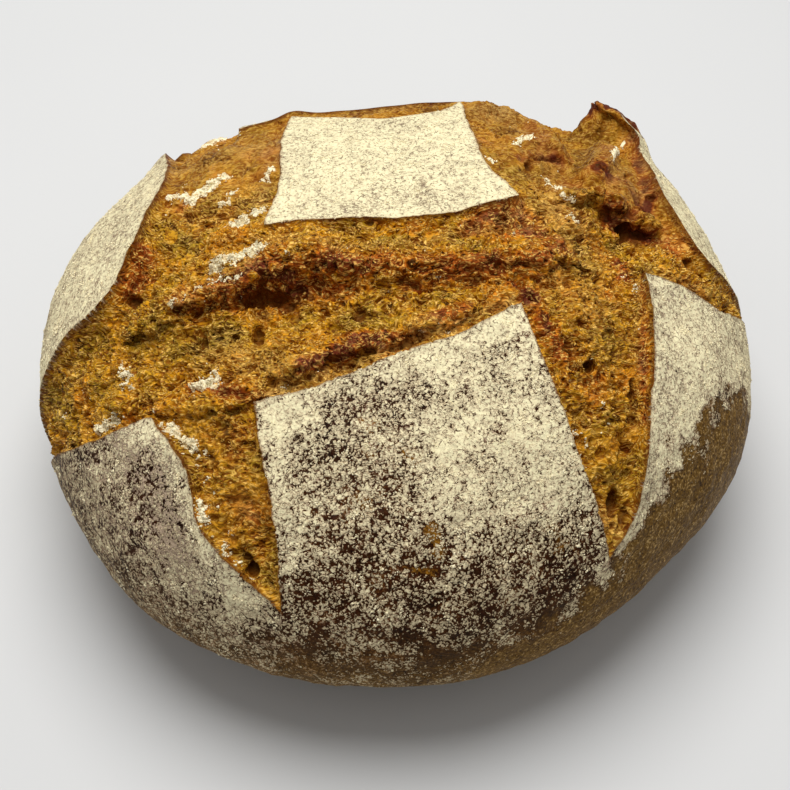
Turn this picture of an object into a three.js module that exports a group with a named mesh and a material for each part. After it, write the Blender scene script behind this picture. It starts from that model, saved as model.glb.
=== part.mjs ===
// A round sourdough loaf: a hearth-baked boule of about a kilogram, scored with a "#" before
// baking. The cuts burst open in the oven, so nine plates of floured crust stand round a
// network of sunken, ridged crumb. One closed body with a flat base.
//
// Millimetres, +Z up, the front faces -Y, and the origin is the middle of the base.
//
// Places on the crust are given as if a tape were laid over the smooth loaf from the top of the
// crown: [u, v] is the tape's length to the right and to the back.

import * as THREE from 'three';
import { mergeVertices } from 'three/addons/utils/BufferGeometryUtils.js';

// ---------------------------------------------------------------- driving dimensions

const GIRTH_RADIUS = 120;
const GIRTH_HEIGHT = 44;
const CROWN_RISE = 70;
const CROWN_POWER = 2.2;
const BELLY_DROP = 56;
const BELLY_POWER = 1.9;

// The loaf isn't round: each wave swells the outline where it faces, as a part of the radius.
const OUTLINE_WAVES = [
  { lobes: 1, swell: 0.056, facing: 82 },
  { lobes: 2, swell: 0.0325, facing: 30.6 },
  { lobes: 3, swell: 0.029, facing: 37 },
  { lobes: 4, swell: 0.0186, facing: -35.4 },
  { lobes: 5, swell: 0.0103, facing: -15 },
  { lobes: 6, swell: 0.0086, facing: -7 },
];

// The crust between the cuts
const LIP_RISE = 1.4;
const LIP_REACH = 9;
const SWELL_HEIGHT = 0.8;
const SWELL_LENGTH = 46;

// The burst cuts
const CUT_DEPTH = 8;
const CUT_DEPTH_PER_WIDTH = 0.3;
const WALL_REACH = 3.5;
const LUMP_HEIGHT = 1.1;
const LUMP_LENGTH = 17;

// The mesh
const MESH_DETAIL = 20;
const BASE_SHARE = 0.3;
const SNAP_REACH = 2.6;
const PROFILE_STEPS = 400;
const SIDE_STEPS = 8;

// ---------------------------------------------------------------- the nine plates of crust

// Each side starts at its corner and runs smoothly through the points after it to the next
// corner. Below the ends of the cuts, neighbouring plates overlap and so run into one crust.
const PLATES = {
  crown: [
    [[-40, 6], [-12, 5], [14, 7]],
    [[37, 18], [27, 30], [24, 55]],
    [[23, 88], [14, 75], [-12, 73]],
    [[-38, 81], [-38, 55], [-36, 24]],
  ],
  front: [
    [[-42, -62], [-20, -58], [2, -49], [22, -41]],
    [[40, -28], [49, -53], [59, -78]],
    [[76, -107], [92, -160]],
    [[100, -200], [10, -226]],
    [[-80, -212], [-50, -160]],
    [[-38, -126], [-37, -102], [-40, -77]],
  ],
  frontLeft: [
    [[-76, -60], [-64, -79], [-60, -99]],
    [[-38, -126], [-18, -170]],
    [[0, -226], [-130, -185]],
    [[-215, -70]],
    [[-172, -38], [-147, -47], [-119, -56], [-98, -60]],
  ],
  left: [
    [[-84, 78], [-78, 50], [-79, 30]],
    [[-82, 8], [-94, -10], [-115, -16], [-140, -23]],
    [[-172, -38], [-205, -75]],
    [[-226, 0], [-220, 45]],
    [[-205, 90]],
    [[-165, 66], [-125, 80]],
  ],
  backLeft: [
    [[-84, 96], [-76, 125]],
    [[-62, 168], [-40, 215]],
    [[-10, 226], [-150, 168]],
    [[-226, 30]],
    [[-165, 66], [-125, 88]],
  ],
  back: [
    [[-56, 78], [-41, 86], [-6, 97]],
    [[34, 108], [40, 138]],
    [[53, 170], [80, 205]],
    [[100, 212], [0, 226]],
    [[-100, 205]],
    [[-62, 168], [-58, 120]],
  ],
  backRight: [
    [[72, 112], [130, 86]],
    [[165, 72], [205, 62]],
    [[226, 40], [160, 160]],
    [[0, 226]],
    [[53, 170], [60, 138]],
  ],
  right: [
    [[80, 86], [85, 66], [87, 45]],
    [[92, 34], [105, 20], [131, 21]],
    [[162, 26], [205, 10]],
    [[226, 0], [222, 60]],
    [[200, 110]],
    [[165, 72], [125, 76]],
  ],
  frontRight: [
    [[79, -5], [94, -4], [112, -3], [134, 11]],
    [[162, 26], [200, 60]],
    [[226, 60], [215, -80], [120, -192]],
    [[40, -224]],
    [[76, -107], [83, -88], [83, -40]],
  ],
};

// Where a lip of crust stands up higher than the rest, and how far along the edge that reaches
const RAISED_LIPS = [
  { at: [0, 6], reach: 30, rise: 1.6 },
  { at: [34, 17], reach: 12, rise: 1.2 },
  { at: [23, 88], reach: 9, rise: 1 },
  { at: [-82, 20], reach: 26, rise: 2.4 },
  { at: [-84, 78], reach: 9, rise: 2 },
  { at: [80, 86], reach: 10, rise: 9 },
  { at: [88, 42], reach: 16, rise: 1.6 },
  { at: [80, -20], reach: 26, rise: 2.2 },
  { at: [82, -75], reach: 22, rise: 1.4 },
  { at: [34, 108], reach: 14, rise: 3 },
  { at: [-84, 96], reach: 14, rise: 2 },
];

// Ridges of torn crumb along the cuts. Each follows its points, and falls off across them.
const RIDGES = [
  { through: [[-76, -22], [-49, -14], [-27, -11], [2, -18], [33, -11], [58, -6]], width: 8, rise: 6.5 },
  { through: [[-33, -53], [-15, -46], [8, -39], [23, -33]], width: 4.5, rise: 4.5 },
  { through: [[-86, -50], [-66, -56], [-44, -57]], width: 4, rise: 2.5 },
  { through: [[54, 27], [64, 35], [76, 34], [86, 30]], width: 4, rise: 6 },
  { through: [[71, 88], [77, 88], [83, 86]], width: 6.5, rise: 17 },
  { through: [[-66, 62], [-60, 34], [-62, 8]], width: 9, rise: 4.5 },
  { through: [[44, 60], [50, 44], [46, 22]], width: 7, rise: 4 },
  { through: [[60, -22], [66, -48], [72, -76]], width: 6, rise: 3.5 },
  { through: [[-54, -72], [-51, -95], [-42, -116]], width: 5, rise: 2.5 },
  { through: [[104, 8], [122, 11], [146, 19]], width: 4, rise: 2 },
  { through: [[-100, -34], [-126, -38], [-156, -37]], width: 6, rise: 3 },
  { through: [[-30, 82], [4, 84], [30, 96]], width: 5, rise: 4 },
  { through: [[-72, 92], [-67, 122], [-63, 152]], width: 5, rise: 3 },
  { through: [[52, 108], [52, 135], [53, 158]], width: 6, rise: 3.5 },
  { through: [[-100, 86], [-126, 82], [-152, 70]], width: 4, rise: 2.5 },
  { through: [[100, 86], [124, 80], [150, 75]], width: 4, rise: 2 },
];

// Hollows and pockets in the crumb
const HOLLOWS = [
  { at: [-40, -27], reach: 10, fall: 3.5 },
  { at: [-84, -12], reach: 9, fall: 3 },
  { at: [76, 15], reach: 9, fall: 7 },
  { at: [57, 52], reach: 9, fall: 5 },
  { at: [41, 36], reach: 5, fall: 3 },
  { at: [-66, -36], reach: 7, fall: 2.5 },
  { at: [-46, -112], reach: 6, fall: 3 },
  { at: [77, -92], reach: 6, fall: 2 },
  { at: [-20, 84], reach: 8, fall: 3 },
  { at: [62, 128], reach: 7, fall: 3 },
];

// ---------------------------------------------------------------- the smooth loaf

// The side of the loaf from the crown to the foot, as radius, height and length along the tape.
function sideProfile() {
  const points = [{ radius: 0, height: GIRTH_HEIGHT + CROWN_RISE, length: 0 }];
  for (let i = 1; i <= PROFILE_STEPS; i++) {
    const angle = (i / PROFILE_STEPS) * (Math.PI / 2);
    points.push({
      radius: GIRTH_RADIUS * Math.sin(angle) ** (2 / CROWN_POWER),
      height: GIRTH_HEIGHT + CROWN_RISE * Math.max(0, Math.cos(angle)) ** (2 / CROWN_POWER),
    });
  }
  for (let i = 1; i <= PROFILE_STEPS; i++) {
    const drop = (i / PROFILE_STEPS) * GIRTH_HEIGHT;
    points.push({
      radius: GIRTH_RADIUS * (1 - (drop / BELLY_DROP) ** BELLY_POWER) ** (1 / BELLY_POWER),
      height: GIRTH_HEIGHT - drop,
    });
  }
  for (let i = 1; i < points.length; i++) {
    const { radius, height, length } = points[i - 1];
    points[i].length = length + Math.hypot(points[i].radius - radius, points[i].height - height);
  }
  return points;
}

const PROFILE = sideProfile();
const FOOT = PROFILE[PROFILE.length - 1];
const TAPE_END = FOOT.length + FOOT.radius;

// The radius, height and outward slope of the smooth side at a length along the tape.
function sideAt(length) {
  if (length >= FOOT.length) {
    return { radius: TAPE_END - length, height: 0, outward: 0, upward: -1 };
  }
  let low = 0;
  let high = PROFILE.length - 1;
  while (high - low > 1) {
    const middle = (low + high) >> 1;
    if (PROFILE[middle].length <= length) {
      low = middle;
    } else {
      high = middle;
    }
  }
  const before = PROFILE[low];
  const after = PROFILE[high];
  const span = after.length - before.length;
  const part = (length - before.length) / span;
  return {
    radius: before.radius + part * (after.radius - before.radius),
    height: before.height + part * (after.height - before.height),
    outward: (before.height - after.height) / span,
    upward: (after.radius - before.radius) / span,
  };
}

function outlineFactor(angle) {
  let factor = 1;
  for (const { lobes, swell, facing } of OUTLINE_WAVES) {
    factor += swell * Math.cos(lobes * (angle - THREE.MathUtils.degToRad(facing)));
  }
  return factor;
}

// ---------------------------------------------------------------- the relief

function sidePoints(side, nextCorner) {
  const through = [...side, nextCorner].map(([u, v]) => new THREE.Vector2(u, v));
  return new THREE.SplineCurve(through).getPoints(SIDE_STEPS * side.length).slice(0, -1);
}

function plateOutline(sides) {
  return sides.flatMap((side, i) => sidePoints(side, sides[(i + 1) % sides.length][0]));
}

const OUTLINES = Object.values(PLATES).map(plateOutline);

function nearestOnSegment(point, from, to) {
  const along = to.clone().sub(from);
  const part = point.clone().sub(from).dot(along) / along.lengthSq();
  return from.clone().addScaledVector(along, THREE.MathUtils.clamp(part, 0, 1));
}

function isInside(point, outline) {
  let inside = false;
  outline.forEach((from, i) => {
    const to = outline[(i + 1) % outline.length];
    const crosses = from.y > point.y !== to.y > point.y;
    if (crosses && point.x < from.x + ((point.y - from.y) / (to.y - from.y)) * (to.x - from.x)) {
      inside = !inside;
    }
  });
  return inside;
}

// How far a point is outside a plate (below zero inside it), and the nearest point of its edge.
function fromPlate(point, outline) {
  let edge = null;
  let distance = Infinity;
  outline.forEach((from, i) => {
    const near = nearestOnSegment(point, from, outline[(i + 1) % outline.length]);
    if (near.distanceTo(point) < distance) {
      distance = near.distanceTo(point);
      edge = near;
    }
  });
  return { distance: isInside(point, outline) ? -distance : distance, edge };
}

function nearestPlates(point) {
  return OUTLINES.map((outline) => fromPlate(point, outline)).sort((a, b) => a.distance - b.distance);
}

function bump(distance, reach) {
  return Math.exp(-((distance / reach) ** 2));
}

function lipRise(point) {
  let rise = LIP_RISE;
  for (const lip of RAISED_LIPS) {
    rise += lip.rise * bump(point.distanceTo(new THREE.Vector2(...lip.at)), lip.reach);
  }
  return rise;
}

const RIDGE_LINES = RIDGES.map(({ through, width, rise }) => ({
  line: new THREE.SplineCurve(through.map(([u, v]) => new THREE.Vector2(u, v))).getPoints(24),
  width,
  rise,
}));

function crumbRelief(point) {
  let rise = 0;
  for (const { line, width, rise: crest } of RIDGE_LINES) {
    let distance = Infinity;
    for (let i = 1; i < line.length; i++) {
      distance = Math.min(distance, nearestOnSegment(point, line[i - 1], line[i]).distanceTo(point));
    }
    rise += crest * bump(distance, width);
  }
  for (const { at, reach, fall } of HOLLOWS) {
    rise -= fall * bump(point.distanceTo(new THREE.Vector2(...at)), reach);
  }
  return rise;
}

// Soft unevenness without a pattern, from waves whose lengths have no common measure
function unevenness(point, length) {
  const turn = (2 * Math.PI) / length;
  const first = Math.sin(turn * (point.x + 0.31 * point.y) + 1.1);
  const second = Math.sin(turn * 0.83 * (point.y - 0.42 * point.x) + 2.7);
  const third = Math.sin(turn * 1.37 * (0.6 * point.x + 0.8 * point.y) + 0.4);
  return (first + second + 0.6 * third) / 2;
}

function reliefAt(point) {
  const [nearest, second] = nearestPlates(point);
  const swell = SWELL_HEIGHT * unevenness(point, SWELL_LENGTH);
  const lip = lipRise(nearest.edge);
  if (nearest.distance <= 0) {
    return swell + lip * Math.exp(nearest.distance / LIP_REACH);
  }
  const width = nearest.distance + Math.max(0, second.distance);
  const depth = Math.min(CUT_DEPTH, CUT_DEPTH_PER_WIDTH * width);
  const fromWall = 1 - Math.exp(-nearest.distance / WALL_REACH);
  const floor = crumbRelief(point) + LUMP_HEIGHT * unevenness(point, LUMP_LENGTH) - depth;
  return swell + (1 - fromWall) * lip + fromWall * floor;
}

// ---------------------------------------------------------------- the mesh

// Shares a sphere's triangles over the loaf by area, with fewer under the base.
function areaTable() {
  const table = [{ length: 0, area: 0 }];
  const steps = 2 * PROFILE_STEPS;
  for (let i = 1; i <= steps; i++) {
    const length = (i / steps) * TAPE_END;
    const share = length > FOOT.length ? BASE_SHARE : 1;
    const ring = Math.max(0, sideAt(length - TAPE_END / steps / 2).radius);
    table.push({ length, area: table[i - 1].area + share * ring });
  }
  return table;
}

const AREAS = areaTable();

function tapeLength(up) {
  const area = ((1 - up) / 2) * AREAS[AREAS.length - 1].area;
  const i = Math.max(1, AREAS.findIndex((row) => row.area >= area));
  const before = AREAS[i - 1];
  const part = (area - before.area) / (AREAS[i].area - before.area);
  return before.length + part * (AREAS[i].length - before.length);
}

// A corner of the mesh that is close to a plate's edge or to the foot moves onto it.
function snapped(tape) {
  const [nearest] = nearestPlates(tape);
  if (Math.abs(nearest.distance) < SNAP_REACH) {
    return nearest.edge;
  }
  const fromFoot = tape.length() - FOOT.length;
  return Math.abs(fromFoot) < SNAP_REACH ? tape.clone().setLength(FOOT.length) : tape;
}

function surfacePoint(tape, angle) {
  const side = sideAt(tape.length());
  const across = side.radius * outlineFactor(angle);
  const onBase = tape.length() >= FOOT.length;
  const relief = onBase ? 0 : reliefAt(tape) * Math.min(1, side.height / LIP_REACH);
  const radius = across + relief * side.outward;
  const height = side.height + relief * side.upward;
  return new THREE.Vector3(radius * Math.cos(angle), radius * Math.sin(angle), height);
}

function loafGeometry() {
  const sphere = new THREE.IcosahedronGeometry(1, MESH_DETAIL);
  sphere.deleteAttribute('normal');
  sphere.deleteAttribute('uv');
  const geometry = mergeVertices(sphere);
  const positions = geometry.getAttribute('position');
  for (let i = 0; i < positions.count; i++) {
    const direction = new THREE.Vector3().fromBufferAttribute(positions, i).normalize();
    const length = tapeLength(direction.z);
    const angle = Math.atan2(direction.y, direction.x);
    const onTape = new THREE.Vector2(length * Math.cos(angle), length * Math.sin(angle));
    const tape = length < FOOT.length + SNAP_REACH ? snapped(onTape) : onTape;
    const point = surfacePoint(tape, tape.angle());
    positions.setXYZ(i, point.x, point.y, point.z);
  }
  geometry.computeBoundingBox();
  const middle = geometry.boundingBox.getCenter(new THREE.Vector3());
  geometry.translate(-middle.x, -middle.y, -geometry.boundingBox.min.z);
  geometry.computeVertexNormals();
  return geometry;
}

const crust = new THREE.MeshStandardMaterial({ color: '#a8875a', roughness: 0.85, metalness: 0 });
const loaf = new THREE.Mesh(loafGeometry(), crust);
loaf.name = 'loaf';

const sourdough = new THREE.Group();
sourdough.add(loaf);

export default sourdough;
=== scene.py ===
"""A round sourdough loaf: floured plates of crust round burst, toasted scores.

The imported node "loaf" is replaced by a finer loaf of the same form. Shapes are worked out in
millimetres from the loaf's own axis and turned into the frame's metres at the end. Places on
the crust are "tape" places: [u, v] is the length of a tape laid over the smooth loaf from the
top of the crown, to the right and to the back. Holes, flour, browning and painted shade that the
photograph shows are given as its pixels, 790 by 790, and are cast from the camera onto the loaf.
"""

import math

import bmesh
import bpy
import numpy as np
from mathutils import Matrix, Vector, noise
from mathutils.bvhtree import BVHTree


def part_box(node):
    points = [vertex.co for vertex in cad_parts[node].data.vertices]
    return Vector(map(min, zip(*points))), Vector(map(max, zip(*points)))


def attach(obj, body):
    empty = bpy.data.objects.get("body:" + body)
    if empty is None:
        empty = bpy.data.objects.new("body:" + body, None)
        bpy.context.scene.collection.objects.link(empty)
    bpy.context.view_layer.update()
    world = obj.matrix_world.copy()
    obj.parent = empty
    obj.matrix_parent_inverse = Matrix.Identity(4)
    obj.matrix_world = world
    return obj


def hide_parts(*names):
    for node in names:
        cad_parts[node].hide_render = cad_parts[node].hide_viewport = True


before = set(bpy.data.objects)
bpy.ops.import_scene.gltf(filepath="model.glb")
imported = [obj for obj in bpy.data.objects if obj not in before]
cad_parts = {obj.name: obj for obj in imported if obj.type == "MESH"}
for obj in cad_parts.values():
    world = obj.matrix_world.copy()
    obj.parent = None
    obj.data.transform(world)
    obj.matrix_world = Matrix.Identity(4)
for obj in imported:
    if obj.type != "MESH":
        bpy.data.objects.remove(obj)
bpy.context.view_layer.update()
LOAF_LOW, LOAF_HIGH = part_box("loaf")

MM = 0.001
SEED = 7

# ------------------------------------------------------------------ driving sizes, millimetres

GIRTH_RADIUS = 120.0
GIRTH_HEIGHT = 44.0
CROWN_RISE = 70.0
CROWN_POWER = 2.2
BELLY_DROP = 56.0
BELLY_POWER = 1.9

# lobes, swell as a part of the radius, and the way that the swell faces, in degrees
OUTLINE_WAVES = [
    (1, 0.056, 82.0), (2, 0.0325, 30.6), (3, 0.029, 37.0),
    (4, 0.0186, -35.4), (5, 0.0103, -15.0), (6, 0.0086, -7.0),
]

LIP_RISE = 1.0
LIP_REACH = 7.0
WALL_REACH = 1.1
NARROW_CUT = 16.0
RIM_WANDER = 0.6
FOOT_FADE = 10.0

SPHERE_DETAIL = 7
BASE_SHARE = 0.3
OUTLINE_STEP = 1.5
RIDGE_STEP = 3.0
NEAR_EDGE = 8.0
FAR_EDGE = 40.0
BLEND_REACH = 3.0
FINE_RIM = 2.6
ON_EDGE = 0.1
FIRST_SNAP = 0.42
LAST_SNAP = 0.2

# Lengths along the tape from the crown: BEHIND_CUTS and CALM_FROM only to the back, and
# FRONT_CALM_FROM only to the front
BEHIND_CUTS = 105.0
UPPER_CRUST = 150.0
BELOW_CUTS = 196.0
LOW_CRUST = (128.0, 172.0)
BROWN_FROM = (150.0, 196.0)
CALM_FROM = (12.0, 40.0)
FRONT_CALM_FROM = (46.0, 74.0)

FLOUR_CLUMPS = 2800
GRAINS_IN_CLUMP = 7
GRAIN_SIZE = 0.22
CLUMP_SPREAD = 0.55
FLOUR_ABOVE = 34.0
SMEAR_FROM = 0.62
STRANDS = 8000
STRAND_LENGTH = 1.3
STRAND_WIDTH = 0.12
HOLE_LEAN = 0.45

# Holes at least this many pixels of the photograph wide are caves
CAVE_PIXELS = 30

# Layers of unevenness: height, size of the lumps, octaves, and where the noise is read
SWELL_LAYERS = [(0.9, 46.0, 2, 0.0), (0.35, 15.0, 2, 5.0)]
LUMP_LAYERS = [(1.4, 15.0, 3, 12.0), (0.6, 6.0, 2, 21.0)]
RAGGED_LAYERS = [(1.0, 6.0, 2, 33.0), (0.5, 2.4, 2, 37.0)]
CRUST_LAYERS = [(0.42, 8.0, 3, 15.0), (0.24, 2.6, 2, 25.0)]

# The ear is the corner of the right plate, which curls up and leans over the cut to its left
EAR_PLACE = (77.0, 87.0)
EAR_REACH = 11.0
EAR_FOOT = 4.0
EAR_HEIGHT = 11.0
EAR_CURL = np.array([-7.5, -3.0, 3.0])

# ------------------------------------------------------------------ camera, from the photograph

FRAME_PIXELS = 790
FOCAL_PIXELS = 1406.0
AXIS_PIXEL = (395.2, 372.3)
CAMERA_ELEVATION = math.radians(48.0)
CAMERA_DISTANCE = 480.0
CAMERA_TARGET = np.array([0.0, 0.0, 50.0])
PIXEL_SIZE = 0.31

CAMERA_BACK = np.array([0.0, -math.cos(CAMERA_ELEVATION), math.sin(CAMERA_ELEVATION)])
CAMERA_RIGHT = np.array([1.0, 0.0, 0.0])
CAMERA_UP = np.cross(CAMERA_BACK, CAMERA_RIGHT)
CAMERA_PLACE = CAMERA_TARGET + CAMERA_DISTANCE * CAMERA_BACK

# ------------------------------------------------------------------ the nine plates of crust

# Each side starts at its corner and runs smoothly through the points after it to the next
# corner. Below the ends of the cuts, neighbouring plates overlap and so run into one crust.
PLATES = {
    "crown": [
        [(-40, 6), (-12, 5), (14, 7)],
        [(37, 18), (27, 30), (24, 55)],
        [(23, 88), (14, 75), (-12, 73)],
        [(-38, 81), (-38, 55), (-36, 24)],
    ],
    "front": [
        [(-42, -62), (-20, -58), (2, -49), (22, -41)],
        [(40, -28), (49, -53), (59, -78)],
        [(76, -107), (92, -160)],
        [(100, -200), (10, -226)],
        [(-80, -212), (-50, -160)],
        [(-38, -126), (-37, -102), (-40, -77)],
    ],
    "front_left": [
        [(-76, -60), (-64, -79), (-60, -99)],
        [(-38, -126), (-18, -170)],
        [(0, -226), (-130, -185)],
        [(-215, -70)],
        [(-172, -38), (-147, -47), (-119, -56), (-98, -60)],
    ],
    "left": [
        [(-84, 78), (-78, 50), (-79, 30)],
        [(-82, 8), (-94, -10), (-115, -16), (-140, -23)],
        [(-172, -38), (-205, -75)],
        [(-226, 0), (-220, 45)],
        [(-205, 90)],
        [(-165, 66), (-125, 80)],
    ],
    "back_left": [
        [(-84, 96), (-76, 125)],
        [(-62, 168), (-40, 215)],
        [(-10, 226), (-150, 168)],
        [(-226, 30)],
        [(-165, 66), (-125, 88)],
    ],
    "back": [
        [(-56, 78), (-41, 86), (-6, 97)],
        [(34, 108), (40, 138)],
        [(53, 170), (80, 205)],
        [(100, 212), (0, 226)],
        [(-100, 205)],
        [(-62, 168), (-58, 120)],
    ],
    "back_right": [
        [(72, 112), (130, 86)],
        [(165, 72), (205, 62)],
        [(226, 40), (160, 160)],
        [(0, 226)],
        [(53, 170), (60, 138)],
    ],
    "right": [
        [(80, 86), (85, 66), (87, 45)],
        [(92, 34), (105, 20), (131, 21)],
        [(162, 26), (205, 10)],
        [(226, 0), (222, 60)],
        [(200, 110)],
        [(165, 72), (125, 76)],
    ],
    "front_right": [
        [(79, -5), (94, -4), (112, -3), (134, 11)],
        [(162, 26), (200, 60)],
        [(226, 60), (215, -80), (120, -192)],
        [(40, -224)],
        [(76, -107), (83, -88), (83, -40)],
    ],
}

# How much of each plate thick flour covers, and how much a thin grey film of it
PLATE_FLOUR = {
    "crown": (1.05, 0.95), "front": (0.60, 0.18), "front_left": (0.48, 0.44), "left": (0.88, 0.9),
    "back_left": (0.72, 0.8), "back": (0.76, 0.8), "back_right": (0.72, 0.8),
    "right": (0.95, 0.95), "front_right": (0.82, 0.86),
}

# Where a lip of crust stands up: tape place, reach along the edge and extra rise
RAISED_LIPS = [
    ((0, 6), 30, 0.8), ((34, 17), 12, 1.0), ((23, 88), 7, 0.6), ((-82, 20), 16, 1.2),
    ((-100, -12), 30, 1.8), ((-84, 78), 9, 2.0), ((80, 86), 9, 11.0), ((88, 42), 16, 1.6),
    ((80, -20), 26, 1.2), ((82, -75), 22, 1.2), ((34, 108), 14, 0.4), ((-84, 96), 14, 2.0),
    ((-38, 88), 6, 2.0), ((-82, 6), 8, 2.0),
]

# How far the torn crumb lies under the plates: tape place and depth
SINKS = [
    ((-60, 60), 1.2), ((-76, 60), 2.2), ((-45, 50), 0.8), ((-62, 26), 1.8), ((-78, 5), 5.5),
    ((-56, 78), 3.0), ((-46, 84), 3.0), ((-74, 22), 3.6), ((-58, 8), 2.8), ((-30, 0), 2.4),
    ((0, -1), 2.2), ((30, 9), 2.6), ((-56, -25), 6.0), ((-47, -25), 9.5), ((-38, -27), 10.0),
    ((-29, -29), 8.5), ((-68, -34), 4.5), ((-10, -32), 5.5), ((18, -24), 3.2), ((45, -14), 2.6),
    ((-34, -42), 4.0), ((-30, -55), 2.6), ((10, -42), 2.4), ((36, -26), 1.6), ((-102, -38), 5.0),
    ((-132, -36), 4.0), ((-90, -20), 7.0), ((-96, -54), 2.2), ((-58, -72), 3.6), ((-46, -95), 6.0),
    ((-42, -112), 6.0), ((-60, -90), 2.6), ((50, -5), 1.4), ((60, -32), 2.0), ((70, -60), 3.0),
    ((76, -92), 4.2), ((55, -48), 2.0), ((80, -30), 4.5), ((82, -60), 4.5), ((33, 42), 1.0),
    ((42, 58), 2.0), ((56, 44), 7.0), ((57, 60), 8.0), ((57, 76), 9.5),
    ((58, 90), 9.0), ((60, 102), 7.0), ((74, 17), 12.5),
    ((73, 9), 12.0), ((80, 22), 9.0), ((72, 46), 3.0), ((60, 20), 3.0), ((80, 62), 3.0),
    ((95, 12), 5.5), ((120, 10), 3.5), ((82, 2), 3.0), ((0, 86), 2.0), ((-30, 82), 2.0),
    ((25, 98), 2.5), ((62, 98), 5.0), ((-70, 120), 4.5), ((-66, 150), 4.0), ((-110, 84), 4.0),
    ((52, 125), 4.5), ((100, 92), 4.0), ((135, 80), 3.0),
]

# Ridges of torn crumb: tape places, rise, reach to the left and right of the line, how far the
# crest leans over to its right, and a power that is higher where the ridge is squarer
RIDGES = [
    ([(-80, -22), (-61, -18), (-42, -12), (-28, -10), (-14, -13)], 7.4, 11, 3.4, 3.4, 2),
    ([(-16, -12), (-2, -16), (14, -15), (31, -11), (46, -8)], 5.6, 11, 4.0, 1.4, 2),
    ([(-33, -52), (-22, -48), (-15, -44), (-4, -42)], 4.8, 4, 2.6, 2.2, 2),
    ([(-4, -42), (8, -38), (23, -32)], 3.4, 4, 2.6, 1.8, 2),
    ([(-90, -50), (-76, -54), (-66, -57), (-44, -58)], 3.4, 6, 2.4, 2.4, 2),
    ([(55, 28), (62, 32), (70, 32), (78, 30), (86, 31)], 7.0, 5, 3.0, 4.0, 3),
    ([(62, 44), (67, 56), (70, 70)], 5.0, 3.4, 5, 0.0, 3),
    ([(70, 88), (74, 88)], 15.2, 4.4, 6.0, 0.0, 4),
    ([(75, 88), (79, 88), (83, 86)], 18.6, 4.0, 6.0, 0.0, 6),
    ([(32, 88), (40, 92), (47, 86)], 4.5, 8, 8, 0.0, 2),
    ([(46, 86), (51, 70), (52, 56)], 4.6, 4, 4, 0.0, 3),
    ([(-56, 4), (-46, 5), (-38, 0)], 3.0, 5, 2.4, 1.6, 2),
    ([(60, -22), (66, -48), (72, -76)], 1.6, 6, 6, 0.0, 2),
    ([(46, -30), (52, -44), (58, -58)], 2.0, 4, 4, 0.0, 2),
    ([(86, 22), (96, 8), (108, 6)], 3.0, 4, 4, 0.0, 2),
    ([(-54, -72), (-51, -95), (-42, -116)], 1.6, 5, 5, 0.0, 2),
    ([(104, 8), (122, 11), (146, 19)], 2.0, 4, 4, 0.0, 2),
    ([(-100, -34), (-126, -38), (-156, -37)], 2.4, 6, 6, 0.0, 2),
    ([(-30, 82), (4, 84), (26, 94)], 2.0, 5, 5, 0.0, 2),
    ([(-72, 92), (-67, 122), (-63, 152)], 2.6, 5, 5, 1.0, 2),
    ([(52, 108), (52, 135), (53, 158)], 3.0, 6, 6, 1.0, 2),
    ([(-100, 86), (-126, 82), (-152, 70)], 2.2, 4, 4, 1.0, 2),
    ([(100, 86), (124, 80), (150, 75)], 2.0, 4, 4, 1.0, 2),
]

# ------------------------------------------------------------------ places from the photograph

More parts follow.
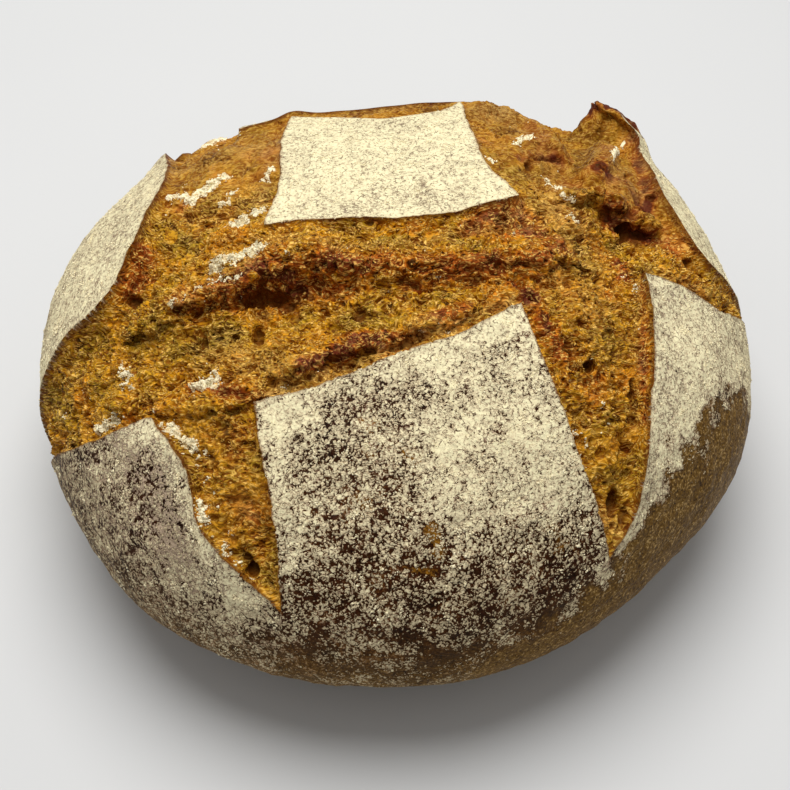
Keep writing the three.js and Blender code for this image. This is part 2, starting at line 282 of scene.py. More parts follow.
# Holes and hollows of the crumb: middle, width and height in pixels, and depth in millimetres
HOLES = [
    (268, 300, 66, 17, 4.6), (290, 306, 20, 12, 3.0), (258, 336, 15, 21, 4.5), (203, 344, 9, 15, 4.0),
    (186, 337, 24, 15, 2.6), (236, 339, 9, 7, 3.5), (294, 320, 15, 12, 3.0), (205, 322, 20, 9, 2.0),
    (187, 308, 11, 5, 2.0), (152, 322, 10, 12, 2.6), (134, 301, 18, 13, 5.0), (156, 298, 9, 5, 2.5),
    (168, 284, 14, 8, 1.6), (178, 208, 9, 6, 1.8), (186, 217, 7, 5, 1.6), (172, 236, 16, 22, 1.6),
    (108, 352, 8, 11, 2.2), (92, 364, 7, 16, 3.0), (120, 325, 12, 9, 1.8), (62, 450, 8, 14, 3.0),
    (140, 340, 10, 8, 1.6), (150, 362, 9, 7, 1.3), (118, 345, 7, 8, 2.0), (273, 383, 11, 9, 2.2),
    (232, 393, 44, 7, 2.6), (253, 570, 12, 16, 4.0), (197, 492, 9, 11, 1.8), (235, 463, 8, 6, 1.2),
    (226, 430, 16, 12, 1.4), (240, 500, 8, 9, 1.4), (216, 470, 8, 6, 1.2), (262, 545, 7, 10, 1.8),
    (358, 313, 15, 15, 5.0), (371, 317, 20, 7, 2.2), (336, 330, 16, 9, 2.2), (312, 257, 11, 5, 2.0),
    (432, 235, 18, 7, 1.6), (410, 233, 13, 5, 1.2), (372, 238, 15, 7, 1.4), (390, 236, 10, 5, 1.0),
    (403, 250, 16, 6, 1.2), (370, 255, 18, 5, 1.2), (430, 252, 16, 5, 1.0), (475, 233, 16, 6, 1.2),
    (352, 250, 12, 5, 1.0), (408, 344, 17, 11, 2.6), (368, 353, 21, 8, 2.4), (328, 367, 16, 9, 2.0),
    (425, 336, 15, 8, 1.6), (250, 236, 34, 5, 2.2), (330, 300, 12, 8, 1.2), (450, 290, 12, 8, 1.0),
    (530, 164, 12, 12, 4.0), (545, 160, 40, 6, 1.6), (517, 115, 10, 6, 1.6), (603, 129, 13, 6, 2.0),
    (611, 116, 11, 7, 1.8), (590, 126, 9, 7, 1.4), (627, 177, 7, 9, 2.0), (547, 212, 9, 6, 1.4),
    (630, 213, 40, 16, 5.0), (624, 232, 20, 20, 6.0), (640, 240, 22, 26, 3.0),
    (604, 215, 16, 20, 2.0), (652, 198, 14, 8, 2.5), (590, 367, 15, 13, 6.0), (615, 354, 10, 14, 3.0),
    (631, 392, 8, 24, 4.0), (626, 372, 8, 10, 2.0), (560, 262, 9, 7, 1.4), (597, 283, 14, 9, 1.6),
    (686, 264, 15, 9, 3.5), (700, 278, 10, 7, 1.6), (612, 505, 14, 26, 5.0), (624, 520, 12, 20, 3.0),
    (600, 455, 9, 12, 1.4), (622, 440, 8, 14, 1.6),
]
RANDOM_HOLES = 230

# Flour, browning and painted shade that the photograph shows, as strokes: pixels, reach in mm and strength
FLOUR_STROKES = [
    ([(205, 148), (222, 140)], 1.6, 1.2), ([(200, 195), (222, 178)], 2.2, 1.2),
    ([(172, 197), (195, 202)], 1.6, 1.1), ([(222, 206), (232, 196)], 1.5, 1.1),
    ([(236, 225), (257, 214)], 2.4, 1.2), ([(216, 268), (238, 258), (258, 248)], 2.6, 1.0),
    ([(172, 303), (205, 289), (238, 279)], 1.7, 0.72), ([(265, 183), (271, 172)], 1.4, 0.9),
    ([(194, 390), (212, 382)], 2.4, 1.1), ([(100, 430), (116, 421)], 1.9, 0.95),
    ([(127, 371), (129, 389)], 1.6, 0.9), ([(172, 430), (186, 442), (198, 450)], 1.8, 0.85),
    ([(546, 181), (557, 189)], 1.3, 1.0), ([(562, 196), (571, 201)], 1.2, 0.9),
    ([(567, 215), (576, 223)], 1.2, 0.8), ([(611, 156), (622, 147)], 1.6, 0.85),
    ([(516, 144), (529, 137)], 1.8, 0.9), ([(487, 157), (494, 161)], 1.4, 0.8),
    ([(204, 508), (208, 518)], 1.5, 0.95),
    ([(700, 330), (690, 430)], 14.0, 0.10), ([(480, 360), (560, 450)], 16.0, 0.24),
    ([(440, 480), (520, 480)], 14.0, 0.14), ([(268, 412), (380, 372), (510, 322)], 5.0, 0.16),
    ([(272, 430), (284, 500), (292, 560)], 4.0, 0.22), ([(430, 380), (450, 450), (440, 500)], 7.0, 0.16),
    ([(330, 440), (345, 500), (360, 560)], 12.0, -0.08), ([(300, 412), (350, 440)], 9.0, 0.22),
    ([(345, 400), (375, 470), (410, 520)], 9.0, -0.16), ([(434, 530), (440, 552)], 2.2, -0.3),
    ([(404, 567), (436, 573)], 1.4, -0.3), ([(535, 530), (580, 545)], 9.0, -0.10),
    ([(300, 610), (420, 620), (560, 590)], 15.0, -0.20), ([(300, 665), (420, 670), (540, 640)], 12.0, -0.4),
    ([(700, 452), (668, 462), (652, 500)], 4.0, 0.16), ([(120, 560), (180, 620)], 14.0, -0.1),
    ([(150, 428), (182, 466), (196, 530), (240, 596)], 6.0, 0.42), ([(190, 590), (262, 612)], 7.0, 0.2),
    ([(150, 480), (175, 535)], 7.0, -0.26), ([(62, 462), (100, 560), (190, 650)], 8.0, -0.1),
    ([(360, 205), (430, 188)], 8.0, -0.12),
]

# Where the thin grey film of flour is closed
FILM_STROKES = [([(120, 446), (158, 450), (172, 520), (192, 570)], 7.0, 0.3)]

# Where the brown crust has hardly any flour
BROWN_STROKES = [
    ([(716, 478), (676, 552), (606, 628)], 20.0, 1.2), ([(742, 440), (704, 540)], 14.0, 0.9),
    ([(676, 500), (640, 560)], 9.0, 0.7), ([(500, 668), (600, 640)], 12.0, 0.4),
]

# Where the flour has flaked off, and the crust shows golden
BARE_STROKES = [
    ([(434, 530), (440, 552)], 1.9, 0.8), ([(404, 567), (436, 573)], 1.2, 0.45),
    ([(405, 449), (418, 461)], 2.4, 0.7), ([(362, 419), (372, 427)], 2.0, 0.7),
    ([(367, 449), (375, 457)], 2.0, 0.6), ([(360, 498), (369, 507)], 2.0, 0.6),
    ([(540, 528), (572, 546)], 4.0, 0.4), ([(352, 600), (380, 606)], 3.0, 0.35),
]

# Where the crumb is toasted, red-brown and dark, and where painted shade darkens it the same way: in the
# caves under the ridges, in the shadow line under the overhanging lip low on the left, and beside the left
# plate's raised edge
TOAST_AND_SHADE_STROKES = [
    ([(175, 300), (210, 288), (262, 266), (340, 262), (440, 264), (540, 262)], 4.6, 0.42),
    ([(200, 312), (240, 300), (300, 290), (340, 285)], 4.0, 0.26),
    ([(240, 284), (262, 272), (296, 276)], 3.6, 0.24), ([(262, 296), (300, 298)], 4.0, 0.34),
    ([(304, 368), (322, 360), (342, 352)], 3.2, 0.80), ([(345, 346), (358, 338), (372, 336)], 3.6, 0.82),
    ([(395, 340), (420, 334)], 2.6, 0.30), ([(436, 316), (465, 309)], 3.0, 0.44),
    ([(350, 290), (470, 284)], 3.4, 0.20), ([(530, 235), (560, 245)], 6.0, 0.50),
    ([(524, 290), (530, 300)], 3.0, 0.60), ([(530, 300), (548, 328)], 3.0, 0.46),
    ([(545, 325), (566, 360)], 4.0, 0.24), ([(612, 208), (648, 214)], 3.2, 0.50),
    ([(620, 264), (625, 278)], 2.6, 0.55),
    ([(588, 111), (596, 106), (606, 105), (616, 109), (631, 120)], 2.3, 1.0),
    ([(634, 128), (640, 165), (650, 200)], 2.6, 0.50), ([(600, 168), (622, 180), (645, 206)], 3.4, 0.50),
    ([(643, 285), (645, 420)], 1.6, 0.42), ([(560, 350), (590, 400)], 7.0, 0.14),
    ([(190, 390), (240, 392), (285, 400)], 2.4, 0.40), ([(145, 250), (138, 275), (128, 294)], 3.2, 0.34),
    ([(530, 128), (545, 146), (556, 158)], 4.2, 0.34), ([(520, 158), (570, 160)], 2.0, 0.36),
    ([(470, 225), (515, 212), (540, 222)], 4.0, 0.34), ([(655, 240), (690, 290)], 6.0, 0.20),
    ([(572, 187), (588, 173), (600, 163), (612, 151)], 3.8, 0.34),
    ([(616, 224), (646, 236)], 4.5, 0.6), ([(180, 206), (192, 220)], 2.6, 0.20),
    ([(258, 190), (270, 150)], 3.0, 0.16), ([(232, 404), (262, 560)], 1.8, 0.26),
    ([(560, 205), (600, 260)], 8.0, 0.08), ([(520, 360), (600, 520)], 2.0, 0.16),
]

# Where the crumb stayed sheltered and pale; in the crumb's colour these places are also darkened, as
# painted shade in the hollows
PALE_STROKES = [
    ([(165, 228), (190, 250)], 5.0, 1.0), ([(168, 284), (165, 325)], 4.5, 0.9),
    ([(235, 334), (300, 322)], 4.5, 0.8), ([(180, 350), (215, 338)], 4.5, 0.8),
    ([(352, 326), (398, 322)], 3.6, 0.8), ([(575, 150), (585, 180)], 3.0, 0.7),
    ([(610, 248), (630, 262)], 3.6, 1.0), ([(60, 400), (75, 440)], 5.0, 0.6),
    ([(215, 415), (245, 455)], 5.0, 0.6), ([(255, 560), (270, 585)], 4.0, 0.5),
    ([(600, 440), (625, 480)], 6.0, 0.2), ([(610, 530), (618, 545)], 4.0, 0.3),
    ([(95, 385), (110, 420)], 5.0, 0.4), ([(210, 160), (225, 170)], 6.0, 0.4),
    ([(432, 234), (380, 240)], 2.2, 0.6), ([(525, 172), (535, 162)], 3.0, 0.5),
    ([(440, 300), (470, 290)], 5.0, 0.5), ([(130, 330), (150, 350)], 5.0, 0.4),
]

# Where a dry tan bloom lies over the gold
TAN_STROKES = [
    ([(262, 396), (340, 370), (420, 338), (512, 302)], 2.0, 0.9),
    ([(270, 240), (340, 246), (430, 242), (508, 222)], 2.6, 0.5),
    ([(652, 272), (692, 288), (738, 312)], 3.0, 0.6), ([(634, 130), (648, 165), (690, 225)], 2.4, 0.8),
    ([(475, 112), (505, 112), (536, 122)], 5.0, 0.7), ([(286, 128), (262, 205)], 2.0, 0.6),
    ([(180, 170), (265, 145)], 10.0, 0.6), ([(220, 352), (300, 372)], 6.0, 0.55),
    ([(180, 300), (250, 262)], 3.4, 0.6), ([(560, 215), (600, 330)], 8.0, 0.35),
    ([(600, 515), (628, 545)], 3.0, 0.6), ([(640, 285), (636, 420)], 2.2, 0.5),
    ([(300, 118), (455, 103)], 3.0, 0.6), ([(590, 165), (640, 195)], 3.0, 0.5),
    ([(500, 115), (545, 150), (560, 200)], 8.0, 0.4), ([(600, 150), (630, 190)], 8.0, 0.5),
    ([(200, 215), (270, 200)], 8.0, 0.4), ([(540, 215), (590, 260)], 8.0, 0.25),
    ([(520, 215), (560, 300)], 5.0, 0.30), ([(230, 430), (248, 520)], 2.4, 0.3),
    ([(415, 322), (468, 330)], 3.0, 0.6), ([(390, 362), (320, 384)], 2.6, 0.5),
]


# ------------------------------------------------------------------ the smooth loaf

def side_table():
    """Lengths along the tape, radii and heights of the loaf's side from the crown to the foot."""
    turn = np.linspace(0.0, math.pi / 2, 1200)
    drop = np.linspace(0.0, GIRTH_HEIGHT, 900)[1:]
    upper_radius = GIRTH_RADIUS * np.sin(turn) ** (2 / CROWN_POWER)
    upper_height = GIRTH_HEIGHT + CROWN_RISE * np.clip(np.cos(turn), 0, 1) ** (2 / CROWN_POWER)
    lower_radius = GIRTH_RADIUS * (1 - (drop / BELLY_DROP) ** BELLY_POWER) ** (1 / BELLY_POWER)
    radius = np.concatenate([upper_radius, lower_radius])
    height = np.concatenate([upper_height, GIRTH_HEIGHT - drop])
    length = np.concatenate([[0.0], np.cumsum(np.hypot(np.diff(radius), np.diff(height)))])
    return length, radius, height


SIDE_LENGTH, SIDE_RADIUS, SIDE_HEIGHT = side_table()
FOOT_LENGTH = SIDE_LENGTH[-1]
FOOT_RADIUS = SIDE_RADIUS[-1]
TAPE_END = FOOT_LENGTH + FOOT_RADIUS
SIDE_OUTWARD = -np.gradient(SIDE_HEIGHT, SIDE_LENGTH)
SIDE_UPWARD = np.gradient(SIDE_RADIUS, SIDE_LENGTH)


def side_radius(length):
    return np.where(length < FOOT_LENGTH, np.interp(length, SIDE_LENGTH, SIDE_RADIUS), TAPE_END - length)


def smooth_place(tape):
    """The place on the smooth loaf and the way its surface faces there."""
    length = np.hypot(tape[:, 0], tape[:, 1])
    angle = np.arctan2(tape[:, 1], tape[:, 0])
    factor = np.ones(len(tape))
    for lobes, swell, facing in OUTLINE_WAVES:
        factor += swell * np.cos(lobes * (angle - math.radians(facing)))
    radius = side_radius(length) * factor
    height = np.where(length < FOOT_LENGTH, np.interp(length, SIDE_LENGTH, SIDE_HEIGHT), 0.0)
    outward = np.where(length < FOOT_LENGTH, np.interp(length, SIDE_LENGTH, SIDE_OUTWARD), 0.0)
    upward = np.where(length < FOOT_LENGTH, np.interp(length, SIDE_LENGTH, SIDE_UPWARD), -1.0)
    ways = np.stack([np.cos(angle), np.sin(angle)], 1)
    place = np.column_stack([ways * radius[:, None], height])
    facing = np.column_stack([ways * outward[:, None], upward])
    return place, facing / np.linalg.norm(facing, axis=1)[:, None]


# ------------------------------------------------------------------ helpers for fields of numbers

def wander(points, size, octaves=3, shift=0.0):
    """Fractal noise from about -1 to 1 at each point, with lumps about one size apart."""
    scaled = (points / size + shift).tolist()
    return np.array([noise.fractal(p, 1.0, 2.0, octaves) for p in scaled])


def wander_at(points, chosen, size, octaves, shift):
    """Fractal noise at the chosen points, and 0 at the rest."""
    field = np.zeros(len(points))
    field[chosen] = wander(points[chosen], size, octaves, shift)
    return field


def layered(points, layers):
    return sum(height * wander(points, size, octaves, shift) for height, size, octaves, shift in layers)


def smoothstep(value, low, high):
    part = np.clip((value - low) / (high - low), 0, 1)
    return part * part * (3 - 2 * part)


def smooth_side(points, step):
    """A smooth line through the points, with a corner every step or so."""
    points = np.array(points, float)
    line = []
    for i in range(len(points) - 1):
        before = points[max(i - 1, 0)]
        start = points[i]
        end = points[i + 1]
        after = points[min(i + 2, len(points) - 1)]
        count = max(2, int(np.linalg.norm(end - start) / step))
        for t in np.arange(count) / count:
            leave = (end - before) / 2
            arrive = (after - start) / 2
            line.append((2 * t**3 - 3 * t**2 + 1) * start + (t**3 - 2 * t**2 + t) * leave
                        + (-2 * t**3 + 3 * t**2) * end + (t**3 - t**2) * arrive)
    return np.array(line + [points[-1]])


def nearest_on_line(points, line):
    """Each point's distance to a line of straight steps, and the nearest place and step's way."""
    best = np.full(len(points), np.inf)
    place = np.zeros_like(points)
    way = np.zeros_like(points)
    for start, end in zip(line[:-1], line[1:]):
        along = end - start
        length = max(np.linalg.norm(along), 1e-6)
        offset = points - start
        part = np.clip(offset @ along / length**2, 0, 1)
        near = start + part[:, None] * along
        distance = np.linalg.norm(points - near, axis=1)
        closer = distance < best
        best[closer] = distance[closer]
        place[closer] = near[closer]
        way[closer] = along / length
    return best, place, way


def is_inside(points, outline):
    inside = np.zeros(len(points), bool)
    for start, end in zip(outline[:-1], outline[1:]):
        if start[1] == end[1]:
            continue
        crosses = (start[1] > points[:, 1]) != (end[1] > points[:, 1])
        reach = start[0] + (points[:, 1] - start[1]) / (end[1] - start[1]) * (end[0] - start[0])
        inside ^= crosses & (points[:, 0] < reach)
    return inside


# ------------------------------------------------------------------ plates, cuts and relief

def plate_outline(sides):
    corners = [side[0] for side in sides[1:]] + [sides[0][0]]
    steps = [smooth_side(side + [corner], OUTLINE_STEP)[:-1] for side, corner in zip(sides, corners)]
    outline = np.concatenate(steps)
    flat = np.column_stack([outline, np.zeros(len(outline))])
    outline[:, 0] += RIM_WANDER * (wander(flat, 7.0, 2) + 0.6 * wander(flat, 2.4, 1, 9.0))
    outline[:, 1] += RIM_WANDER * (wander(flat, 7.0, 2, 31.0) + 0.6 * wander(flat, 2.4, 1, 50.0))
    return np.concatenate([outline, outline[:1]])


OUTLINES = [plate_outline(sides) for sides in PLATES.values()]
FLOUR_OF_PLATE = np.array([PLATE_FLOUR[name] for name in PLATES])


class Plates:
    """How far each tape place is from every plate (below zero inside), and its nearest edge."""

    def __init__(self, tape):
        measured = [self.measure(tape, outline) for outline in OUTLINES]
        distances = np.array([distance for distance, _ in measured]).T
        order = np.argsort(distances, axis=1)
        rows = np.arange(len(tape))
        self.nearest = distances[rows, order[:, 0]]
        self.nearest[np.linalg.norm(tape, axis=1) > BELOW_CUTS] = -NEAR_EDGE
        self.edge = np.array([edge for _, edge in measured])[order[:, 0], rows]
        self.width = np.maximum(self.nearest, 0) + np.maximum(distances[rows, order[:, 1]], 0)
        weights = 1 / (np.maximum(distances, 0) + BLEND_REACH) ** 2
        self.flour, self.film = ((weights @ FLOUR_OF_PLATE) / weights.sum(1)[:, None]).T

    @staticmethod
    def measure(tape, outline):
        """Measured to every fourth step of the outline, and near it to the outline itself."""
        rough = np.concatenate([outline[:-1:4], outline[:1]])
        low = outline.min(axis=0) - FAR_EDGE
        high = outline.max(axis=0) + FAR_EDGE
        around = np.nonzero(((tape > low) & (tape < high)).all(axis=1))[0]
        distance = np.full(len(tape), FAR_EDGE)
        edge = np.zeros_like(tape)
        distance[around], edge[around], _ = nearest_on_line(tape[around], rough)
        close = around[distance[around] < NEAR_EDGE]
        inside = np.zeros(len(tape), bool)
        inside[around] = is_inside(tape[around], rough)
        distance[close], edge[close], _ = nearest_on_line(tape[close], outline)
        inside[close] = is_inside(tape[close], outline)
        return np.where(inside, -distance, distance), edge


def lip_rise(edge):
    rise = np.full(len(edge), LIP_RISE)
    for at, reach, extra in RAISED_LIPS:
        rise += extra * np.exp(-(np.linalg.norm(edge - at, axis=1) / reach) ** 2)
    return rise


def crumb_sink(tape):
    total = np.zeros(len(tape))
    weight = np.zeros(len(tape))
    for at, depth in SINKS:
        share = 1 / (np.linalg.norm(tape - at, axis=1) + BLEND_REACH) ** 3.5
        total += share * depth
        weight += share
    return total / weight


def ridges(tape, ragged):
    """How high the ridges stand, and how far along the tape their crests lean over."""
    rise = np.zeros(len(tape))
    lean = np.zeros((len(tape), 2))
    for through, crest, left, right, over, power in RIDGES:
        distance, place, way = nearest_on_line(tape, smooth_side(through, RIDGE_STEP))
        to_right = np.column_stack([way[:, 1], -way[:, 0]])
        side = ((tape - place) * to_right).sum(axis=1)
        share = np.exp(-(distance / np.where(side > 0, right, left)) ** power)
        height = crest * share * (1 + 0.07 * abs(over) * ragged)
        higher = height > rise
        rise[higher] = height[higher]
        lean[higher] = (over * (share * (1 + 0.4 * ragged))[:, None] * to_right)[higher]
    return rise, lean


def point_normals(points, faces):
    corners = points[faces]
    cross = np.cross(corners[:, 1] - corners[:, 0], corners[:, 2] - corners[:, 0])
    total = np.zeros_like(points)
    for corner in range(3):
        np.add.at(total, faces[:, corner], cross)
    return total / np.maximum(np.linalg.norm(total, axis=1), 1e-9)[:, None]


def coarse_relief(tape, plates, place):
    """The relief without its finest lumps, along the way that the smooth loaf faces, and the lean."""
    swell = layered(place, SWELL_LAYERS)
    lip = lip_rise(plates.edge)
    on_plate = swell + lip * np.exp(np.minimum(plates.nearest, 0) / LIP_REACH)
    narrow = np.minimum(1, plates.width / NARROW_CUT)
    lumps = layered(place, LUMP_LAYERS)
    ragged = layered(place, RAGGED_LAYERS)
    rise, lean = ridges(tape, np.clip(ragged, -1.2, 1.2))
    floor = swell + narrow * (rise - crumb_sink(tape) + lumps)
    off_wall = 1 - np.exp(-np.maximum(plates.nearest, 0) / WALL_REACH)
    in_cut = (1 - off_wall) * (swell + lip) + off_wall * floor
    lean *= (narrow * smoothstep(plates.nearest, 0.5, 4.0))[:, None]
    return np.where(plates.nearest <= 0, on_plate, in_cut), lean


# ------------------------------------------------------------------ the mesh of the loaf

def area_table():
    length = np.linspace(0, TAPE_END, 1500)
    share = np.where(length > FOOT_LENGTH, BASE_SHARE, 1.0)
    area = np.concatenate([[0.0], np.cumsum(share[1:] * np.clip(side_radius(length[1:]), 0, None))])
    return length, area / area[-1]


def sphere_on_tape():
    """A sphere's mesh laid over the loaf, with its triangles shared out by area."""
    ball = bmesh.new()
    bmesh.ops.create_icosphere(ball, subdivisions=SPHERE_DETAIL, radius=1.0)
    ways = np.array([v.co[:] for v in ball.verts])
    faces = np.array([[v.index for v in f.verts] for f in ball.faces])
    ball.free()
    length, area = area_table()
    reach = np.interp((1 - ways[:, 2]) / 2, area, length)
    angle = np.arctan2(ways[:, 1], ways[:, 0])
    return np.column_stack([reach * np.cos(angle), reach * np.sin(angle)]), faces


def split_faces(tape, faces, fine):
    """Splits every face whose corners are all in the fine zone, and the faces beside them."""
    edges = np.sort(np.concatenate([faces[:, [0, 1]], faces[:, [1, 2]], faces[:, [2, 0]]]), axis=1)
    edges, which = np.unique(edges, axis=0, return_inverse=True)
    which = which.reshape(3, -1).T
    cut = fine[edges].all(axis=1)
    middle = np.full(len(edges), -1)
    middle[cut] = len(tape) + np.arange(cut.sum())
    tape = np.concatenate([tape, tape[edges[cut]].mean(axis=1)])
    split = []
    for (a, b, c), (ab, bc, ca) in zip(faces.tolist(), middle[which].tolist()):
        corners = [a, ab, b, bc, c, ca]
        while corners[1] < 0 and max(corners[1], corners[3], corners[5]) >= 0:
            corners = corners[2:] + corners[:2]
        a, ab, b, bc, c, ca = corners
        if ab < 0:
            split.append((a, b, c))
        elif bc < 0 and ca < 0:
            split += [(a, ab, c), (ab, b, c)]
        elif ca < 0:
            split += [(a, ab, c), (ab, bc, c), (ab, b, bc)]
        elif bc < 0:
            split += [(a, ab, ca), (ab, b, c), (ab, c, ca)]
        else:
            split += [(a, ab, ca), (ab, b, bc), (bc, c, ca), (ab, bc, ca)]
    return tape, np.array(split)


def snap_to_edges(tape, plates, reach):
    """Moves the mesh's points near a plate's edge onto it."""
    snapped = np.abs(plates.nearest) < reach
    tape[snapped] = plates.edge[snapped]
    plates.nearest[snapped] = 0.0
    return tape


def loaf_mesh():
    """The mesh on the tape: finer in the cuts and on the upper crust, finest in the front cuts."""
    tape, faces = sphere_on_tape()
    plates = Plates(tape)
    length = np.linalg.norm(tape, axis=1)
    upper = (length < UPPER_CRUST) & (tape[:, 1] < BEHIND_CUTS)
    by_cuts = (plates.nearest > -FINE_RIM) & (length < FOOT_LENGTH)
    tape, faces = split_faces(tape, faces, by_cuts | upper)
    plates = Plates(tape)
    tape = snap_to_edges(tape, plates, FIRST_SNAP)
    in_cuts = (plates.nearest > -ON_EDGE) & (tape[:, 1] < BEHIND_CUTS)
    tape, faces = split_faces(tape, faces, in_cuts)
    plates = Plates(tape)
    tape = snap_to_edges(tape, plates, LAST_SNAP)
    return tape, faces, plates


def cast(tree, points, pixels):
    """Where the camera sees each pixel of the photograph on the loaf, or the nearest place to it."""
    hits = []
    for x, y in pixels:
        way = CAMERA_RIGHT * (x - AXIS_PIXEL[0]) / FOCAL_PIXELS
        way = way - CAMERA_UP * (y - AXIS_PIXEL[1]) / FOCAL_PIXELS - CAMERA_BACK
        way /= np.linalg.norm(way)
        hit = tree.ray_cast(Vector(CAMERA_PLACE), Vector(way))[0]
        if hit is None:
            offset = points - CAMERA_PLACE
            beside = offset - (offset @ way)[:, None] * way
            hit = points[np.linalg.norm(beside, axis=1).argmin()]
        hits.append(hit[:])
    return np.array(hits)


def painted(tree, points, strokes, ragged):
    """How strongly the strokes cover each point, with ragged edges."""
    field = np.zeros(len(points))
    for pixels, reach, strength in strokes:
        distance, _, _ = nearest_on_line(points, cast(tree, points, pixels))
        field += strength * np.exp(-np.clip(distance / reach + ragged, 0, None) ** 2)
    return field


def hole_share(points, centre, width, height, uneven):
    """An uneven bowl whose width and height are as the camera sees them: 1 in its middle."""
    near = np.nonzero(np.linalg.norm(points - centre, axis=1) < 0.8 * (width + height))[0]
    offset = points[near] - centre
    across = offset @ CAMERA_RIGHT / (width / 2)
    tall = offset @ CAMERA_UP / (height / 2)
    away = np.hypot(across, tall) * (1 + 0.3 * uneven[near])
    return near, np.clip(1 - away**2, 0, 1) ** 0.5


def round_hole_share(points, centre, size, uneven):
    near = np.nonzero(np.linalg.norm(points - centre, axis=1) < 2 * size)[0]
    away = np.linalg.norm(points[near] - centre, axis=1) / size * (1 + 0.4 * uneven[near])
    return near, np.clip(1 - away**2, 0, 1) ** 0.5


def open_holes(tree, points, torn, uneven):
    """How deep the holes are, and how far inside a hole each point is."""
    random = np.random.default_rng(SEED)
    depth = np.zeros(len(points))
    inside = np.zeros(len(points))
    for x, y, wide, tall, deep in HOLES:
        centre = cast(tree, points, [(x, y)])[0]
        near, share = hole_share(points, centre, wide * PIXEL_SIZE, tall * PIXEL_SIZE, uneven)
        depth[near] = np.maximum(depth[near], deep * share)
        inside[near] = np.maximum(inside[near], share if wide < CAVE_PIXELS else 0.3 * share)
    for centre in points[random.choice(torn, RANDOM_HOLES)]:
        size = 0.5 + min(random.exponential(0.5), 1.1)
        near, share = round_hole_share(points, centre, size, uneven)
        depth[near] = np.maximum(depth[near], size * share)
        inside[near] = np.maximum(inside[near], 0.7 * share)
    return depth, inside


def cell_pits(points, size):
    """Open bubbles with thin walls between them: 0 on the walls and 1 in the middles."""
    scaled = (points / size).tolist()
    reach = np.array([noise.voronoi(p)[0][:2] for p in scaled])
    return smoothstep(reach[:, 1] - reach[:, 0], 0.0, 0.55)


def torn_relief(place, ragged, calm):
    """Bubbles, pits and strands of the torn crumb, which is smoother where it's calm."""
    bend = np.stack([wander(place, 6.0, 2, shift) for shift in (3.0, 43.0, 83.0)], 1)
    sheets = 1 - np.abs(wander((place + bend) * [1, 1.5, 1], 5.0, 3, 40.0)) * 2.6
    threads = 1 - np.abs(wander((place + 0.6 * bend) * [0.7, 1.2, 1], 1.9, 2, 66.0)) * 2.6
    open_bubbles = smoothstep(wander(place, 12.0, 2, 70.0), -0.2, 0.4)
    big = cell_pits(place + 2.2 * bend, 6.5)
    small = cell_pits(place + 1.2 * bend, 2.6)
    rough = 0.16 * wander(place, 1.5, 2, 60.0)
    bubbles = (2.4 * big + 0.6 * small) * open_bubbles
    fine = (0.4 * threads + rough + 0.5 * ragged) * (1 - 0.75 * calm)
    return (1.3 * sheets - bubbles) * (1 - 0.6 * calm) + fine


def curled_ear(tape, coarse):
    """How far each point moves with the ear as it curls."""
    tip = np.exp(-(np.linalg.norm(tape - EAR_PLACE, axis=1) / EAR_REACH) ** 4)
    tip *= smoothstep(coarse, EAR_FOOT, EAR_HEIGHT)
    return tip[:, None] * EAR_CURL


def calm_share(tape):
    """How calm the crumb is: fully at the back, and partly by the ear and low in the front cuts."""
    ear = np.exp(-(np.linalg.norm(tape - EAR_PLACE, axis=1) / (2 * EAR_REACH)) ** 2)
    front_cuts = 0.45 * smoothstep(-tape[:, 1], *FRONT_CALM_FROM)
    return np.clip(smoothstep(tape[:, 1], *CALM_FROM) + 0.6 * ear + front_cuts, 0, 1)


def fine_relief(points, place, nearest, ragged, calm):
    """The finest relief of the crumb and of the crust, which fades out where they meet."""
    torn = nearest > 0
    crust = nearest <= 0
    relief = np.zeros(len(points))
    relief[torn] = torn_relief(points[torn], ragged[torn], calm[torn])
    relief[torn] *= smoothstep(nearest[torn], 0.2, 2.5)
    relief[crust] = layered(place[crust], CRUST_LAYERS)
    relief[crust] *= smoothstep(-nearest[crust], 0.0, 2.0)
    return relief


def brown_crust(tree, points, tape, ragged):
    """Where the crust has hardly any flour: at the strokes and low down, from higher at the right."""
    brown = 1.1 * smoothstep(painted(tree, points, BROWN_STROKES, 0.6 * ragged), 0.1, 0.8)
    length = np.linalg.norm(tape, axis=1)
    reach = length + 9 * ragged + 0.12 * np.clip(tape[:, 0], 0, None)
    return brown + 0.6 * smoothstep(reach, *BROWN_FROM)


def painted_fields(tree, points, tape, plates, ragged, flour):
    """The fields that say where the crust is floured and brown, and where the crumb is toasted, pale, or
    darkened with painted shade.
    """
    brown = brown_crust(tree, points, tape, ragged)
    film = plates.film + 0.35 * flour + painted(tree, points, FILM_STROKES, ragged)
    low = smoothstep(np.linalg.norm(tape, axis=1), *LOW_CRUST)
    return {
        "flour": np.where(plates.nearest > 0, 0.0, plates.flour) + flour - 0.9 * brown,
        "film": film - 0.9 * brown,
        "bare": painted(tree, points, BARE_STROKES, ragged),
        "low": np.clip(low + brown, 0, 1),
        "toast_and_shade": painted(tree, points, TOAST_AND_SHADE_STROKES, 0.7 * ragged),
        "pale": painted(tree, points, PALE_STROKES, 0.7 * ragged),
        "tan": painted(tree, points, TAN_STROKES, 0.7 * ragged),
    }


